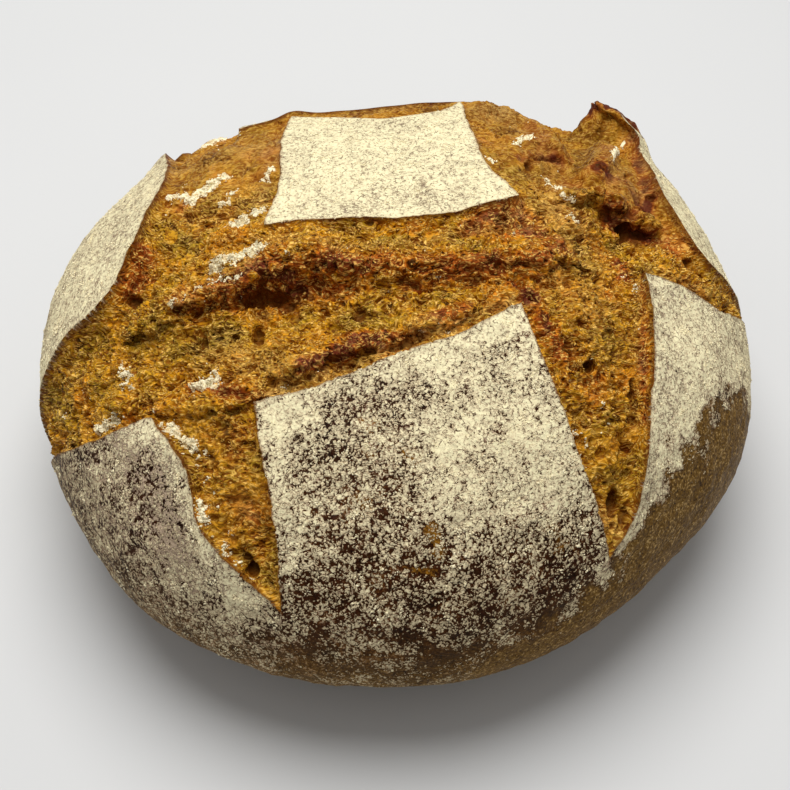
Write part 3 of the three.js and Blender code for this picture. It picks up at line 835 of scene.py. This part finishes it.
def build_loaf():
    """The mesh's tape places, faces, points and fields."""
    tape, faces, plates = loaf_mesh()
    place, facing = smooth_place(tape)
    fade = np.clip(place[:, 2] / FOOT_FADE, 0, 1) * (np.linalg.norm(tape, axis=1) < FOOT_LENGTH)
    coarse, lean = coarse_relief(tape, plates, place)
    coarse *= fade
    place, facing = smooth_place(tape + lean * fade[:, None])
    points = place + coarse[:, None] * facing + curled_ear(tape, coarse)
    tree = BVHTree.FromPolygons(points.tolist(), faces.tolist())
    outward = 0.35 * facing + 0.65 * point_normals(points, faces)
    outward /= np.linalg.norm(outward, axis=1)[:, None]

    torn = np.nonzero(plates.nearest > 0)[0]
    crust = np.nonzero(plates.nearest <= 0)[0]
    off_edge = smoothstep(plates.nearest, 0.0, 1.0)
    ragged = wander_at(points, torn, 3.2, 3, 90.0) + wander_at(points, crust, 7.0, 4, 90.0)
    flour = painted(tree, points, FLOUR_STROKES, ragged)
    smears = flour - SMEAR_FROM + 0.75 * wander_at(points, torn, 1.7, 2, 110.0)
    dust = smoothstep(smears, 0.0, 0.14) * (plates.nearest > 0)

    calm = calm_share(tape)
    relief = fine_relief(points, place, plates.nearest, ragged, calm)
    hole, inside = open_holes(tree, points, torn, wander_at(points, torn, 5.0, 2, 95.0))
    inside *= off_edge
    high = relief * (1 - 0.6 * inside) - hole * off_edge
    lumps = wander_at(points, torn, 1.6, 2, 120.0)
    heap = dust * (0.7 + 0.4 * ragged + 0.8 * lumps) * off_edge
    final = points + ((high + heap) * fade)[:, None] * outward
    final += (HOLE_LEAN * hole * inside * fade)[:, None] * CAMERA_UP

    fields = painted_fields(tree, points, tape, plates, ragged, flour)
    fields.update(edge=plates.nearest, calm=calm, high=high, inside=inside, dust=dust)
    return tape, faces, final, fields


# ------------------------------------------------------------------ materials

class Nodes:
    """A short way to write a material's nodes."""

    def __init__(self, name):
        self.material = bpy.data.materials.new(name)
        self.material.use_nodes = True
        self.tree = self.material.node_tree
        self.tree.nodes.clear()
        self.output = self.tree.nodes.new("ShaderNodeOutputMaterial")
        self.shader = self.tree.nodes.new("ShaderNodeBsdfPrincipled")
        self.tree.links.new(self.shader.outputs[0], self.output.inputs[0])
        self.place = self.tree.nodes.new("ShaderNodeTexCoord").outputs["Object"]

    def put(self, socket, value):
        if isinstance(value, bpy.types.NodeSocket):
            self.tree.links.new(value, socket)
        else:
            socket.default_value = value

    def math(self, operation, first, second):
        node = self.tree.nodes.new("ShaderNodeMath")
        node.operation = operation
        self.put(node.inputs[0], first)
        self.put(node.inputs[1], second)
        return node.outputs[0]

    def add(self, first, second):
        return self.math("ADD", first, second)

    def minus(self, first, second):
        return self.math("SUBTRACT", first, second)

    def times(self, first, second):
        return self.math("MULTIPLY", first, second)

    def larger(self, first, second):
        return self.math("MAXIMUM", first, second)

    def attribute(self, name):
        node = self.tree.nodes.new("ShaderNodeAttribute")
        node.attribute_name = name
        return node.outputs["Fac"]

    def noise(self, size_mm, detail=3.0, roughness=0.55, distortion=0.0):
        node = self.tree.nodes.new("ShaderNodeTexNoise")
        node.inputs["Scale"].default_value = 1000.0 / size_mm
        node.inputs["Detail"].default_value = detail
        node.inputs["Roughness"].default_value = roughness
        node.inputs["Distortion"].default_value = distortion
        self.tree.links.new(self.place, node.inputs["Vector"])
        return node.outputs["Fac"]

    def bend(self, size_mm, reach_mm, stretch=1.0):
        """Sways the places read from here on, and stretches what they show along the loaf's width."""
        sway = self.tree.nodes.new("ShaderNodeTexNoise")
        sway.inputs["Scale"].default_value = 1000.0 / size_mm
        self.tree.links.new(self.place, sway.inputs["Vector"])
        reach = self.tree.nodes.new("ShaderNodeMapping")
        reach.inputs["Scale"].default_value = (reach_mm * MM, reach_mm * MM, reach_mm * MM)
        self.tree.links.new(sway.outputs["Color"], reach.inputs["Vector"])
        total = self.tree.nodes.new("ShaderNodeVectorMath")
        self.tree.links.new(self.place, total.inputs[0])
        self.tree.links.new(reach.outputs[0], total.inputs[1])
        longer = self.tree.nodes.new("ShaderNodeMapping")
        longer.inputs["Scale"].default_value = (1 / stretch, 1.0, 1.0)
        self.tree.links.new(total.outputs[0], longer.inputs["Vector"])
        self.place = longer.outputs[0]

    def voronoi(self, size_mm, feature):
        node = self.tree.nodes.new("ShaderNodeTexVoronoi")
        node.feature = feature
        node.inputs["Scale"].default_value = 1000.0 / size_mm
        self.tree.links.new(self.place, node.inputs["Vector"])
        return node

    def cells(self, size_mm):
        """The distance from the middle of the nearest cell, and a number that is that cell's own."""
        node = self.voronoi(size_mm, "F1")
        return node.outputs["Distance"], node.outputs["Color"]

    def net(self, size_mm):
        """The distance from the walls between cells, which make a net."""
        return self.voronoi(size_mm, "DISTANCE_TO_EDGE").outputs["Distance"]

    def step(self, value, low, high):
        node = self.tree.nodes.new("ShaderNodeMapRange")
        node.interpolation_type = "SMOOTHSTEP"
        self.put(node.inputs["Value"], value)
        node.inputs["From Min"].default_value = low
        node.inputs["From Max"].default_value = high
        return node.outputs[0]

    def ramp(self, value, stops):
        node = self.tree.nodes.new("ShaderNodeValToRGB")
        self.put(node.inputs[0], value)
        elements = node.color_ramp.elements
        while len(elements) < len(stops):
            elements.new(0.5)
        for element, (position, colour) in zip(elements, stops):
            element.position = position
            element.color = (*linear(colour), 1.0)
        return node.outputs[0]

    def mix(self, part, first, second, blend="MIX"):
        node = self.tree.nodes.new("ShaderNodeMix")
        node.data_type = "RGBA"
        node.blend_type = blend
        self.put(node.inputs["Factor"], part)
        for socket, value in ((node.inputs[6], first), (node.inputs[7], second)):
            self.put(socket, (*linear(value), 1.0) if isinstance(value, tuple) else value)
        return node.outputs[2]

    def bump(self, height, distance_mm):
        node = self.tree.nodes.new("ShaderNodeBump")
        node.inputs["Distance"].default_value = distance_mm * MM
        node.inputs["Strength"].default_value = 1.0
        self.put(node.inputs["Height"], height)
        return node.outputs[0]


def linear(colour):
    """A display colour of 0 to 255 as scene-linear numbers."""
    parts = []
    for value in colour[:3]:
        value = value / 255
        parts.append(value / 12.92 if value <= 0.04045 else ((value + 0.055) / 1.055) ** 2.4)
    return tuple(parts)


def weighted(nodes, start, *terms):
    """The start value plus each noise, centred and times its weight."""
    total = start
    for value, weight in terms:
        total = nodes.add(total, nodes.times(nodes.minus(value, 0.5), weight))
    return total


# Display colours of 0 to 255. The ramps run from sheltered to burnt, or from dark to bright
CRUMB_BY_HEAT = [
    (0.0, (150, 122, 42)), (0.2, (164, 126, 28)), (0.42, (184, 128, 18)),
    (0.6, (174, 106, 14)), (0.78, (156, 76, 18)), (1.0, (98, 38, 24)),
]
DRY_BLOOM = (176, 138, 76)
WARM_SHADE = (255, 196, 120)
# The colour of the pale fibres, and of painted glints that stand in for highlights
FIBRE_AND_PAINTED_GLINT = (248, 200, 104)
PALE_FIBRE = (244, 198, 112)
# Painted shade in deep places and holes, darker further inside a hole
PAINTED_HOLLOW_SHADE = (134, 64, 8)
PAINTED_HOLE_SHADE = (76, 40, 6)
CRUMB_RIM = (84, 36, 14)
SMEAR_LOW = (214, 188, 138)
SMEAR_HIGH = (255, 244, 206)
UPPER_BROWNS = [
    (0.0, (14, 2, 0)), (0.4, (58, 26, 7)), (0.7, (118, 74, 26)), (1.0, (178, 122, 48)),
]
LOWER_BROWNS = [
    (0.0, (30, 14, 2)), (0.25, (84, 59, 22)), (0.6, (112, 82, 34)), (1.0, (200, 166, 106)),
]
DARK_SPECK = (26, 12, 3)
FLAKED_GOLD = [(0.3, (104, 62, 8)), (0.7, (176, 124, 34))]
UPPER_FILM = (190, 168, 142)
LOWER_FILM = (152, 118, 80)
# Darker crust beside the flour: partly its own brown, partly painted shadow of the flour's edge
CRUST_AND_SHADOW_BY_FLOUR = (58, 38, 14)
THICK_FLOUR = [
    (0.0, (146, 118, 84)), (0.07, (202, 180, 143)), (0.3, (213, 195, 158)), (0.75, (230, 220, 178)),
]
CRUST_RIM = (128, 80, 36)
LOOSE_FLOUR = [(0.0, (212, 194, 150)), (0.5, (240, 226, 186)), (1.0, (252, 244, 212))]
FLOOR_GREYS = ((207, 207, 206), (211, 211, 210))


def crumb_colour(n, variation):
    """Olive-gold where it stayed sheltered, golden, then red-brown and dark where toasted and where shade
    is painted in the caves and under the lips.
    """
    heat = n.minus(n.attribute("toast_and_shade"), n.times(n.attribute("pale"), 0.34))
    heat = n.add(n.add(heat, variation), 0.40)
    colour = n.ramp(heat, CRUMB_BY_HEAT)
    dry = n.add(n.times(n.attribute("tan"), 0.65), n.times(n.attribute("calm"), 0.15))
    dry = n.times(dry, n.step(n.attribute("toast_and_shade"), 0.7, 0.25))
    return n.mix(dry, colour, DRY_BLOOM)


def fibres_and_painted_glints(n, fine, crisp, tufts, nets):
    """Pale threads along the net's walls, and painted highlights as glints in some of the cells, both
    weaker where toasted or painted with shade.
    """
    grains, chance = n.cells(0.72)
    thread = n.times(n.step(nets, 0.15, 0.04), n.step(tufts, 0.38, 0.56))
    thread = n.times(thread, crisp)
    # Painted highlights: bright glints in some of the cells
    painted_glint = n.times(n.step(grains, 0.50, 0.36), n.step(chance, 0.62, 0.66))
    bright = n.larger(n.times(thread, 0.8), painted_glint)
    # The toast field also holds painted shade in the caves and under the lips
    toasted = n.step(n.attribute("toast_and_shade"), 0.25, 0.8)
    bright = n.times(bright, n.minus(fine, n.times(toasted, 0.5)))
    return n.larger(bright, 0.0)


def crumb_tone_and_painted_shade(n, gaps, grain, patches, tint):
    """How bright the crumb's colour is: less in the gaps between fibres, partly dark pores and partly
    painted shade, and where calm; less where pale and in low places and holes, and more on high places, as
    painted shade and light.
    """
    # The gaps darken the crumb: partly its dark pores, partly painted shade between the fibres
    shade = n.minus(0.96, n.times(gaps, 0.9))
    shade = n.minus(shade, n.times(n.attribute("calm"), 0.26))
    # Painted shade: the pale places lie in hollows and are darkened
    shade = n.minus(shade, n.times(n.attribute("pale"), 0.2))
    shade = weighted(n, n.add(shade, grain), (patches, 0.7), (tint, 0.7))
    # Painted shade and light: darker in low places and holes, lighter on high places
    shade = n.add(shade, n.times(n.attribute("high"), 0.11))
    return n.larger(shade, 0.1)


def crumb_material():
    """Torn crumb: fine pale fibres and painted glints over darker pores that are partly painted shade, with
    smooth-walled holes darkened by painted shade.
    """
    n = Nodes("torn_crumb")
    high = n.attribute("high")
    inside = n.attribute("inside")
    rugged = n.minus(1.0, n.times(n.attribute("calm"), 0.66))
    patches = n.noise(13.0, 1.0, 0.4)
    tint = n.noise(7.0, 0.5, 0.4)
    webs = n.noise(4.5, 2.5, 0.55, distortion=0.8)
    n.bend(9.0, 8.0, 2.3)
    tufts = n.noise(2.2, 2.0, 0.5)
    speckle = n.noise(0.9, 1.0, 0.5)
    nets = n.net(1.4)

    fine = n.times(n.minus(1.0, n.times(inside, 0.9)), rugged)
    crisp = n.step(speckle, 0.42, 0.56)
    bright = fibres_and_painted_glints(n, fine, crisp, tufts, nets)
    # Darker gaps between the fibres: partly pores, partly painted shade
    gap = n.step(weighted(n, nets, (speckle, 0.5), (tufts, -0.7)), 0.22, 0.42)
    grain = n.times(weighted(n, 0.0, (webs, 1.3), (speckle, 0.4), (crisp, 0.7)), rugged)
    shade = crumb_tone_and_painted_shade(n, n.times(gap, fine), grain, patches, tint)

    # Low places a little redder and high ones a little paler, as painted shade
    variation = weighted(n, n.times(high, -0.02), (patches, 0.9), (tint, 0.3))
    colour = n.mix(1.0, crumb_colour(n, variation), shade, "MULTIPLY")
    # The darker places, much of them painted shade, turn warmer and redder
    colour = n.mix(n.step(shade, 0.9, 0.3), colour, WARM_SHADE, "MULTIPLY")
    # Pale fibres and painted glints
    colour = n.mix(n.times(bright, 0.85), colour, FIBRE_AND_PAINTED_GLINT)
    # Painted shade: deep places and holes turn dark brown
    hollow_shade = n.mix(inside, PAINTED_HOLLOW_SHADE, PAINTED_HOLE_SHADE)
    colour = n.mix(n.times(n.step(high, -0.9, -3.2), 0.8), colour, hollow_shade)
    loose = n.step(n.attribute("dust"), 0.3, 0.6)
    powder = n.mix(n.step(tufts, 0.36, 0.5), SMEAR_LOW, SMEAR_HIGH)
    colour = n.mix(loose, colour, powder)
    rim = n.step(weighted(n, n.attribute("edge"), (tufts, 1.0)), 0.6, 0.1)
    n.put(n.shader.inputs["Base Color"], n.mix(n.times(rim, 0.7), colour, CRUMB_RIM))

    gloss = n.minus(0.54, n.times(bright, 0.28))
    n.put(n.shader.inputs["Roughness"], n.larger(gloss, loose))
    n.shader.inputs["Specular IOR Level"].default_value = 0.3
    n.shader.inputs["Specular Tint"].default_value = (1.0, 0.66, 0.2, 1.0)
    height = n.minus(n.times(bright, 0.6), n.times(gap, 0.4))
    height = weighted(n, n.times(height, fine), (webs, 1.1), (tufts, 0.4))
    n.put(n.shader.inputs["Normal"], n.bump(height, 1.0))
    return n.material


def strand_material():
    """Dry fibres of crumb, tanned with the crumb that they lie on."""
    n = Nodes("crumb_fibre")
    tint = n.noise(1.2, 2.0, 0.6)
    colour = crumb_colour(n, weighted(n, n.times(n.attribute("shade"), 0.3), (tint, 0.5)))
    pale = n.minus(0.5, n.times(n.attribute("shade"), 0.5))
    pale = n.times(pale, n.step(n.attribute("toast_and_shade"), 0.75, 0.15))
    n.put(n.shader.inputs["Base Color"], n.mix(pale, colour, PALE_FIBRE))
    n.shader.inputs["Roughness"].default_value = 0.5
    n.shader.inputs["Specular IOR Level"].default_value = 0.4
    n.shader.inputs["Specular Tint"].default_value = (1.0, 0.8, 0.5, 1.0)
    n.put(n.shader.inputs["Normal"], n.bump(tint, 0.3))
    return n.material


def bare_crust(n, patches, clumps, speckle, lumps, lump_chance):
    """The browns of the upper and the lower crust, with dark specks low down, and flaked gold."""
    upper = n.ramp(weighted(n, 0.36, (patches, 1.1), (clumps, 0.8), (speckle, 1.0)), UPPER_BROWNS)
    lower = n.ramp(weighted(n, 0.5, (patches, 0.5), (clumps, 0.6), (speckle, 1.8)), LOWER_BROWNS)
    dark_specks = n.times(n.step(lumps, 0.26, 0.16), n.step(lump_chance, 0.5, 0.56))
    lower = n.mix(dark_specks, lower, DARK_SPECK)
    colour = n.mix(n.attribute("low"), upper, lower)
    flaked = n.step(weighted(n, n.attribute("bare"), (clumps, 0.8), (speckle, 0.6)), 0.25, 0.7)
    return n.mix(n.times(flaked, 0.85), colour, n.ramp(speckle, FLAKED_GOLD))


def flour_heap(n, patches, clumps, lumps, lump_chance):
    """How thick the flour lies, in grains and with cracks. There is none where it's below 0."""
    grits, grit_chance = n.cells(0.6)
    cover = weighted(n, n.attribute("flour"), (patches, 0.6), (clumps, 0.9))
    cover = weighted(n, cover, (lump_chance, 0.5), (grit_chance, 0.8))
    heap = n.minus(cover, n.times(lumps, 0.42))
    heap = n.minus(heap, n.times(grits, 0.42))
    cracks = n.times(n.step(n.net(2.0), 0.08, 0.03), n.step(clumps, 0.56, 0.66))
    return n.minus(heap, n.times(cracks, 0.7))


def crust_material():
    """Brown crust under a thin grey film of flour, with thick cream flour in grains over it."""
    n = Nodes("floured_crust")
    patches = n.noise(14.0, 3.0, 0.6)
    clumps = n.noise(3.4, 3.0, 0.6)
    speckle = n.noise(0.9, 2.0, 0.6)
    n.bend(1.8, 1.6)
    lumps, lump_chance = n.cells(1.1)

    colour = bare_crust(n, patches, clumps, speckle, lumps, lump_chance)
    film = weighted(n, n.attribute("film"), (clumps, 1.3), (speckle, 2.0), (patches, 0.8))
    film = n.times(n.step(film, 0.36, 0.66), 0.86)
    colour = n.mix(film, colour, n.mix(n.attribute("low"), UPPER_FILM, LOWER_FILM))

    heap = flour_heap(n, patches, clumps, lumps, lump_chance)
    # Darker just beside the flour: the crust's own brown and painted shadow of the flour's edge and clumps
    colour = n.mix(n.times(n.step(heap, -0.4, -0.02), 0.45), colour, CRUST_AND_SHADOW_BY_FLOUR)
    thick = n.step(heap, 0.0, 0.05)
    mottle = weighted(n, 1.0, (patches, 0.3), (clumps, 0.35), (speckle, 0.6))
    powder = n.mix(1.0, n.ramp(heap, THICK_FLOUR), mottle, "MULTIPLY")
    colour = n.mix(thick, colour, powder)
    rim = n.step(weighted(n, n.attribute("edge"), (speckle, 1.6), (clumps, 1.0)), -0.7, 0.0)
    n.put(n.shader.inputs["Base Color"], n.mix(n.times(rim, 0.6), colour, CRUST_RIM))

    dry = n.larger(n.times(thick, 0.95), n.add(film, 0.5))
    n.put(n.shader.inputs["Roughness"], dry)
    n.shader.inputs["Specular IOR Level"].default_value = 0.05
    height = n.times(n.math("MINIMUM", n.larger(heap, 0.0), 0.35), 1.6)
    height = weighted(n, height, (clumps, 0.5), (speckle, 0.35))
    n.put(n.shader.inputs["Normal"], n.bump(height, 1.0))
    return n.material


def flour_material():
    n = Nodes("dry_flour")
    grain = n.noise(0.8, 3.0, 0.6)
    tint = n.noise(9.0, 2.0, 0.5)
    colour = n.ramp(weighted(n, 0.55, (grain, 0.9), (tint, 0.6)), LOOSE_FLOUR)
    n.put(n.shader.inputs["Base Color"], colour)
    n.shader.inputs["Roughness"].default_value = 0.95
    n.put(n.shader.inputs["Normal"], n.bump(grain, 0.3))
    return n.material


def floor_material():
    n = Nodes("pale_floor")
    mottle = n.noise(180.0, 2.0, 0.5)
    n.put(n.shader.inputs["Base Color"], n.mix(mottle, *FLOOR_GREYS))
    n.shader.inputs["Roughness"].default_value = 0.9
    n.shader.inputs["Specular IOR Level"].default_value = 0.1
    return n.material


# ------------------------------------------------------------------ pieces

def add_object(name, vertices, faces, material):
    mesh = bpy.data.meshes.new(name)
    mesh.from_pydata(vertices.tolist(), [], faces.tolist())
    mesh.materials.append(material)
    mesh.polygons.foreach_set("use_smooth", np.ones(len(faces), bool))
    mesh.update()
    piece = bpy.data.objects.new(name, mesh)
    bpy.context.scene.collection.objects.link(piece)
    return piece


# The two discs of the loaf's bake map, as parts of its width: the place of the middle, and radius
TOP_DISC = (0.44, 0.425)
BASE_DISC = (0.885, 0.1)
TOP_MARGIN = 4.0


def add_bake_map(mesh, tape, faces):
    """A texture layout: the top as one disc laid out along the tape, and the base as another."""
    layer = mesh.uv_layers.new(name="OFBake")
    corners = tape[faces.reshape(-1)]
    length = np.linalg.norm(corners, axis=1)
    middle = np.linalg.norm(tape[faces], axis=2).mean(axis=1)
    on_base = np.repeat(middle > FOOT_LENGTH, 3)
    top = TOP_DISC[0] + corners * (TOP_DISC[1] / (FOOT_LENGTH + TOP_MARGIN))
    way = corners / np.maximum(length, 1e-6)[:, None]
    base = BASE_DISC[0] + way * (TAPE_END - length)[:, None] * (BASE_DISC[1] / FOOT_RADIUS)
    layer.data.foreach_set("uv", np.where(on_base[:, None], base, top).reshape(-1))


CRUST_FIELDS = ("edge", "flour", "film", "low", "bare")
CRUMB_FIELDS = ("edge", "toast_and_shade", "pale", "tan", "calm", "high", "inside", "dust")


def add_field(piece, name, values):
    layer = piece.data.attributes.new(name, "FLOAT", "POINT")
    layer.data.foreach_set("value", values.astype(np.float32))


def add_part(name, vertices, faces, tape, fields, wanted, material):
    """One piece of the loaf, from its share of the faces, with the fields its material reads."""
    used, faces = np.unique(faces, return_inverse=True)
    faces = faces.reshape(-1, 3)
    piece = add_object(name, vertices[used], faces, material)
    for field in wanted:
        add_field(piece, field, fields[field][used])
    add_bake_map(piece.data, tape[used], faces)
    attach(piece, "root")
    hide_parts("loaf")


def add_cell_map(mesh, count, corners):
    """A texture layout with one small square for each of the alike bits that the mesh holds."""
    layer = mesh.uv_layers.new(name="OFBake")
    row = math.ceil(math.sqrt(count))
    cells = np.stack([np.arange(count) % row, np.arange(count) // row], 1)[:, None]
    turn = np.arange(corners) * 2.4
    within = 0.5 + 0.3 * np.stack([np.cos(turn), np.sin(turn)], 1)[None]
    layer.data.foreach_set("uv", ((cells + within) / row).reshape(-1))


def strew(vertices, faces, weight, count, random):
    """Places strewn over the faces by weight, and which faces they lie on."""
    corners = vertices[faces]
    cross = np.cross(corners[:, 1] - corners[:, 0], corners[:, 2] - corners[:, 0])
    area = np.linalg.norm(cross, axis=1)
    chance = area * np.clip(weight, 0, None)
    chosen = random.choice(len(faces), count, p=chance / chance.sum())
    facing = cross[chosen] / np.maximum(area[chosen], 1e-12)[:, None]
    return corners[chosen].mean(axis=1), facing, chosen


def settle(tree, places):
    """The nearest places on the loaf, and the way its surface faces there."""
    found = [tree.find_nearest(place)[:2] for place in places.tolist()]
    return np.array([place[:] for place, _ in found]), np.array([up[:] for _, up in found])


def sides_of_all(sides, count, corners):
    """The faces of many alike bits, whose corners follow each other in the mesh."""
    offsets = np.arange(count)[:, None, None] * corners
    return (np.array(sides)[None] + offsets).reshape(-1, 3)


GRAIN = [(1, 0, 0), (0, 1, 0), (-1, 0, 0), (0, -1, 0), (0, 0, 1), (0, 0, -1)]
GRAIN_SIDES = [(0, 1, 4), (1, 2, 4), (2, 3, 4), (3, 0, 4), (1, 0, 5), (2, 1, 5), (3, 2, 5), (0, 3, 5)]


def flour_weight(middle, faces, fields):
    """How likely loose flour is on each face: in patches on the plates, and on the smears."""
    flour = fields["flour"][faces].mean(axis=1)
    edge = fields["edge"][faces].mean(axis=1)
    patch = wander(middle / MM, 5.0, 2, 80.0)
    on_crust = np.clip(flour - 0.3, 0, 0.4) * np.clip(0.3 + 1.8 * patch, 0, 2) * (edge < -1.0)
    on_crumb = 2.0 * fields["dust"][faces].mean(axis=1) * (edge > 0)
    return (on_crust + on_crumb) * (middle[:, 2] > FLOUR_ABOVE * MM)


def add_flour(vertices, faces, fields, tree):
    """Grains of loose flour in clumps, on the floured plates and on the smears in the cuts."""
    random = np.random.default_rng(SEED)
    weight = flour_weight(vertices[faces].mean(axis=1), faces, fields)
    middles, _, _ = strew(vertices, faces, weight, FLOUR_CLUMPS, random)
    spread = random.normal(size=(FLOUR_CLUMPS, GRAINS_IN_CLUMP, 3)) * CLUMP_SPREAD * MM
    places, ups = settle(tree, (middles[:, None] + spread).reshape(-1, 3))

    count = len(places)
    size = GRAIN_SIZE * MM * np.exp(random.normal(0, 0.35, count))[:, None, None]
    side = np.cross(ups, random.normal(size=(count, 3)))
    side /= np.linalg.norm(side, axis=1)[:, None]
    other = np.cross(ups, side)
    uneven = 1 + 0.3 * random.normal(size=(count, len(GRAIN), 1)).clip(-2, 2)
    points = np.array(GRAIN, float)[None] * uneven * size
    turned = points[:, :, :1] * side[:, None] + points[:, :, 1:2] * other[:, None]
    turned += points[:, :, 2:] * ups[:, None] * 0.8
    corners = places[:, None] + turned + 0.15 * size * ups[:, None]
    grain_faces = sides_of_all(GRAIN_SIDES, count, len(GRAIN))
    piece = add_object("loose_flour", corners.reshape(-1, 3), grain_faces, flour_material())
    add_cell_map(piece.data, count, 3 * len(GRAIN_SIDES))
    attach(piece, "root")


# Where a fibre's tips and rings lie along it, from its middle, and how wide it is there
STRAND_RINGS = ((-0.5, 0.0), (-0.28, 0.8), (0.0, 1.0), (0.28, 0.8), (0.5, 0.0))
STRAND_FIELDS = ("toast_and_shade", "pale", "tan")


def strand_weight(faces, fields):
    """How likely a fibre is on each face: less where it's calm, toasted or painted with shade, tan or in a
    hole.
    """
    mean = {name: fields[name][faces].mean(axis=1) for name in CRUMB_FIELDS}
    weight = (mean["edge"] > 0.4) * (mean["dust"] < 0.2)
    weight = weight * np.clip(1 - 2.5 * mean["inside"], 0, 1)
    weight *= np.clip(1 - 2.4 * mean["toast_and_shade"], 0.06, 1)
    weight *= np.clip(1 - 0.8 * mean["tan"], 0.15, 1)
    return weight * (1 - 0.85 * mean["calm"])


def strand_sides():
    """The faces of one fibre: a tip, three rings of three corners, and the other tip."""
    tip, first_ring, last_ring, other_tip = 0, 1, 7, 10
    sides = []
    for a, b in ((0, 1), (1, 2), (2, 0)):
        sides += [(tip, first_ring + b, first_ring + a), (other_tip, last_ring + a, last_ring + b)]
        for low in (first_ring, first_ring + 3):
            sides += [(low + a, low + b, low + 3 + b), (low + a, low + 3 + b, low + 3 + a)]
    return sides


def add_strands(vertices, faces, fields, tree):
    """Fine fibres lying on the torn crumb, each a bent prism of three sides with pointed ends."""
    random = np.random.default_rng(SEED + 1)
    middles, facing, chosen = strew(vertices, faces, strand_weight(faces, fields), STRANDS, random)
    swirl = 2.2 * wander(middles / MM, 11.0, 2, 7.0) + random.normal(0, 0.3, STRANDS)
    level = np.cross((0.0, 1.0, 0.0), facing)
    level /= np.maximum(np.linalg.norm(level, axis=1), 1e-6)[:, None]
    way = np.cos(swirl)[:, None] * level + np.sin(swirl)[:, None] * np.cross(facing, level)
    side = np.cross(facing, way)
    length = STRAND_LENGTH * MM * np.exp(random.normal(0, 0.35, STRANDS))
    width = STRAND_WIDTH * MM * np.exp(random.normal(0, 0.3, STRANDS))
    bow = random.normal(0, 0.3, STRANDS)

    rings = []
    for part, share in STRAND_RINGS:
        place = middles + (length * part)[:, None] * way + (length * bow * part**2)[:, None] * side
        on, up = settle(tree, place)
        on += (0.3 * width * share)[:, None] * up
        out = (width * share)[:, None] * side
        ring = [on + out, on + (0.8 * width * share)[:, None] * up, on - out]
        rings.append(ring if share else [on])
    corners = np.concatenate([np.stack(ring, 1) for ring in rings], axis=1)
    each = corners.shape[1]
    sides = strand_sides()
    strand_faces = sides_of_all(sides, STRANDS, each)
    piece = add_object("crumb_fibres", corners.reshape(-1, 3), strand_faces, strand_material())
    for field in STRAND_FIELDS:
        add_field(piece, field, np.repeat(fields[field][faces[chosen]].mean(axis=1), each))
    add_field(piece, "shade", np.repeat(random.random(STRANDS), each))
    add_cell_map(piece.data, STRANDS, 3 * len(sides))
    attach(piece, "root")
    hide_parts("loaf")


# ------------------------------------------------------------------ floor, lights and camera

FLOOR_REACH = 4.0
LIGHT_PLACE = (-0.05, 0.22, 1.23)
LIGHT_TARGET = (0, 0, 0.05)
LIGHT_SIZE = 1.0
LIGHT_POWER = 16.0
SURROUND_STRENGTH = 0.38


def add_floor():
    corners = FLOOR_REACH * np.array([(-1, -1, 0), (1, -1, 0), (1, 1, 0), (-1, 1, 0)])
    floor = add_object("floor", corners, np.array([[0, 1, 2, 3]]), floor_material())


def add_area_light(name, place, target, size, power):
    data = bpy.data.lights.new(name, "AREA")
    data.shape = "DISK"
    data.size = size
    data.energy = power
    light = bpy.data.objects.new(name, data)
    light.location = place
    light.rotation_euler = (Vector(target) - Vector(place)).to_track_quat("-Z", "Y").to_euler()
    bpy.context.scene.collection.objects.link(light)


def add_lights():
    add_area_light("overhead", LIGHT_PLACE, LIGHT_TARGET, LIGHT_SIZE, LIGHT_POWER)
    world = bpy.data.worlds.new("studio")
    world.use_nodes = True
    world.node_tree.nodes["Background"].inputs["Color"].default_value = (1.0, 1.0, 1.0, 1.0)
    world.node_tree.nodes["Background"].inputs["Strength"].default_value = SURROUND_STRENGTH
    bpy.context.scene.world = world


def add_camera(middle):
    data = bpy.data.cameras.new("camera")
    data.sensor_width = 36.0
    data.lens = data.sensor_width * FOCAL_PIXELS / FRAME_PIXELS
    data.shift_x = (FRAME_PIXELS / 2 - AXIS_PIXEL[0]) / FRAME_PIXELS
    data.shift_y = (AXIS_PIXEL[1] - FRAME_PIXELS / 2) / FRAME_PIXELS
    data.clip_start = 0.01
    camera = bpy.data.objects.new("camera", data)
    camera.location = (CAMERA_PLACE - middle) * MM
    camera.rotation_euler = (math.pi / 2 - CAMERA_ELEVATION, 0, 0)
    bpy.context.scene.collection.objects.link(camera)
    bpy.context.scene.camera = camera


def main():
    tape, faces, points, fields = build_loaf()
    frame_middle = (np.array(LOAF_LOW) + np.array(LOAF_HIGH)) / 2 / MM
    middle = (points.min(axis=0) + points.max(axis=0)) / 2 - frame_middle
    middle[2] = points[:, 2].min() - LOAF_LOW[2] / MM
    vertices = (points - middle) * MM
    torn = fields["edge"][faces].mean(axis=1) > 0
    border = tape[faces].mean(axis=1)[:, 0] + 6 * wander(vertices[faces].mean(axis=1) / MM, 6.0, 3)
    crumb = crumb_material()
    add_part("crust", vertices, faces[~torn], tape, fields, CRUST_FIELDS, crust_material())
    add_part("torn_crumb_left", vertices, faces[torn & (border < 0)], tape, fields, CRUMB_FIELDS, crumb)
    add_part("torn_crumb_right", vertices, faces[torn & (border >= 0)], tape, fields, CRUMB_FIELDS, crumb)
    tree = BVHTree.FromPolygons(vertices.tolist(), faces.tolist())
    add_flour(vertices, faces, fields, tree)
    add_strands(vertices, faces[torn], fields, tree)
    add_floor()
    add_lights()
    add_camera(middle)
    bpy.context.scene.view_settings.view_transform = "Standard"


main()
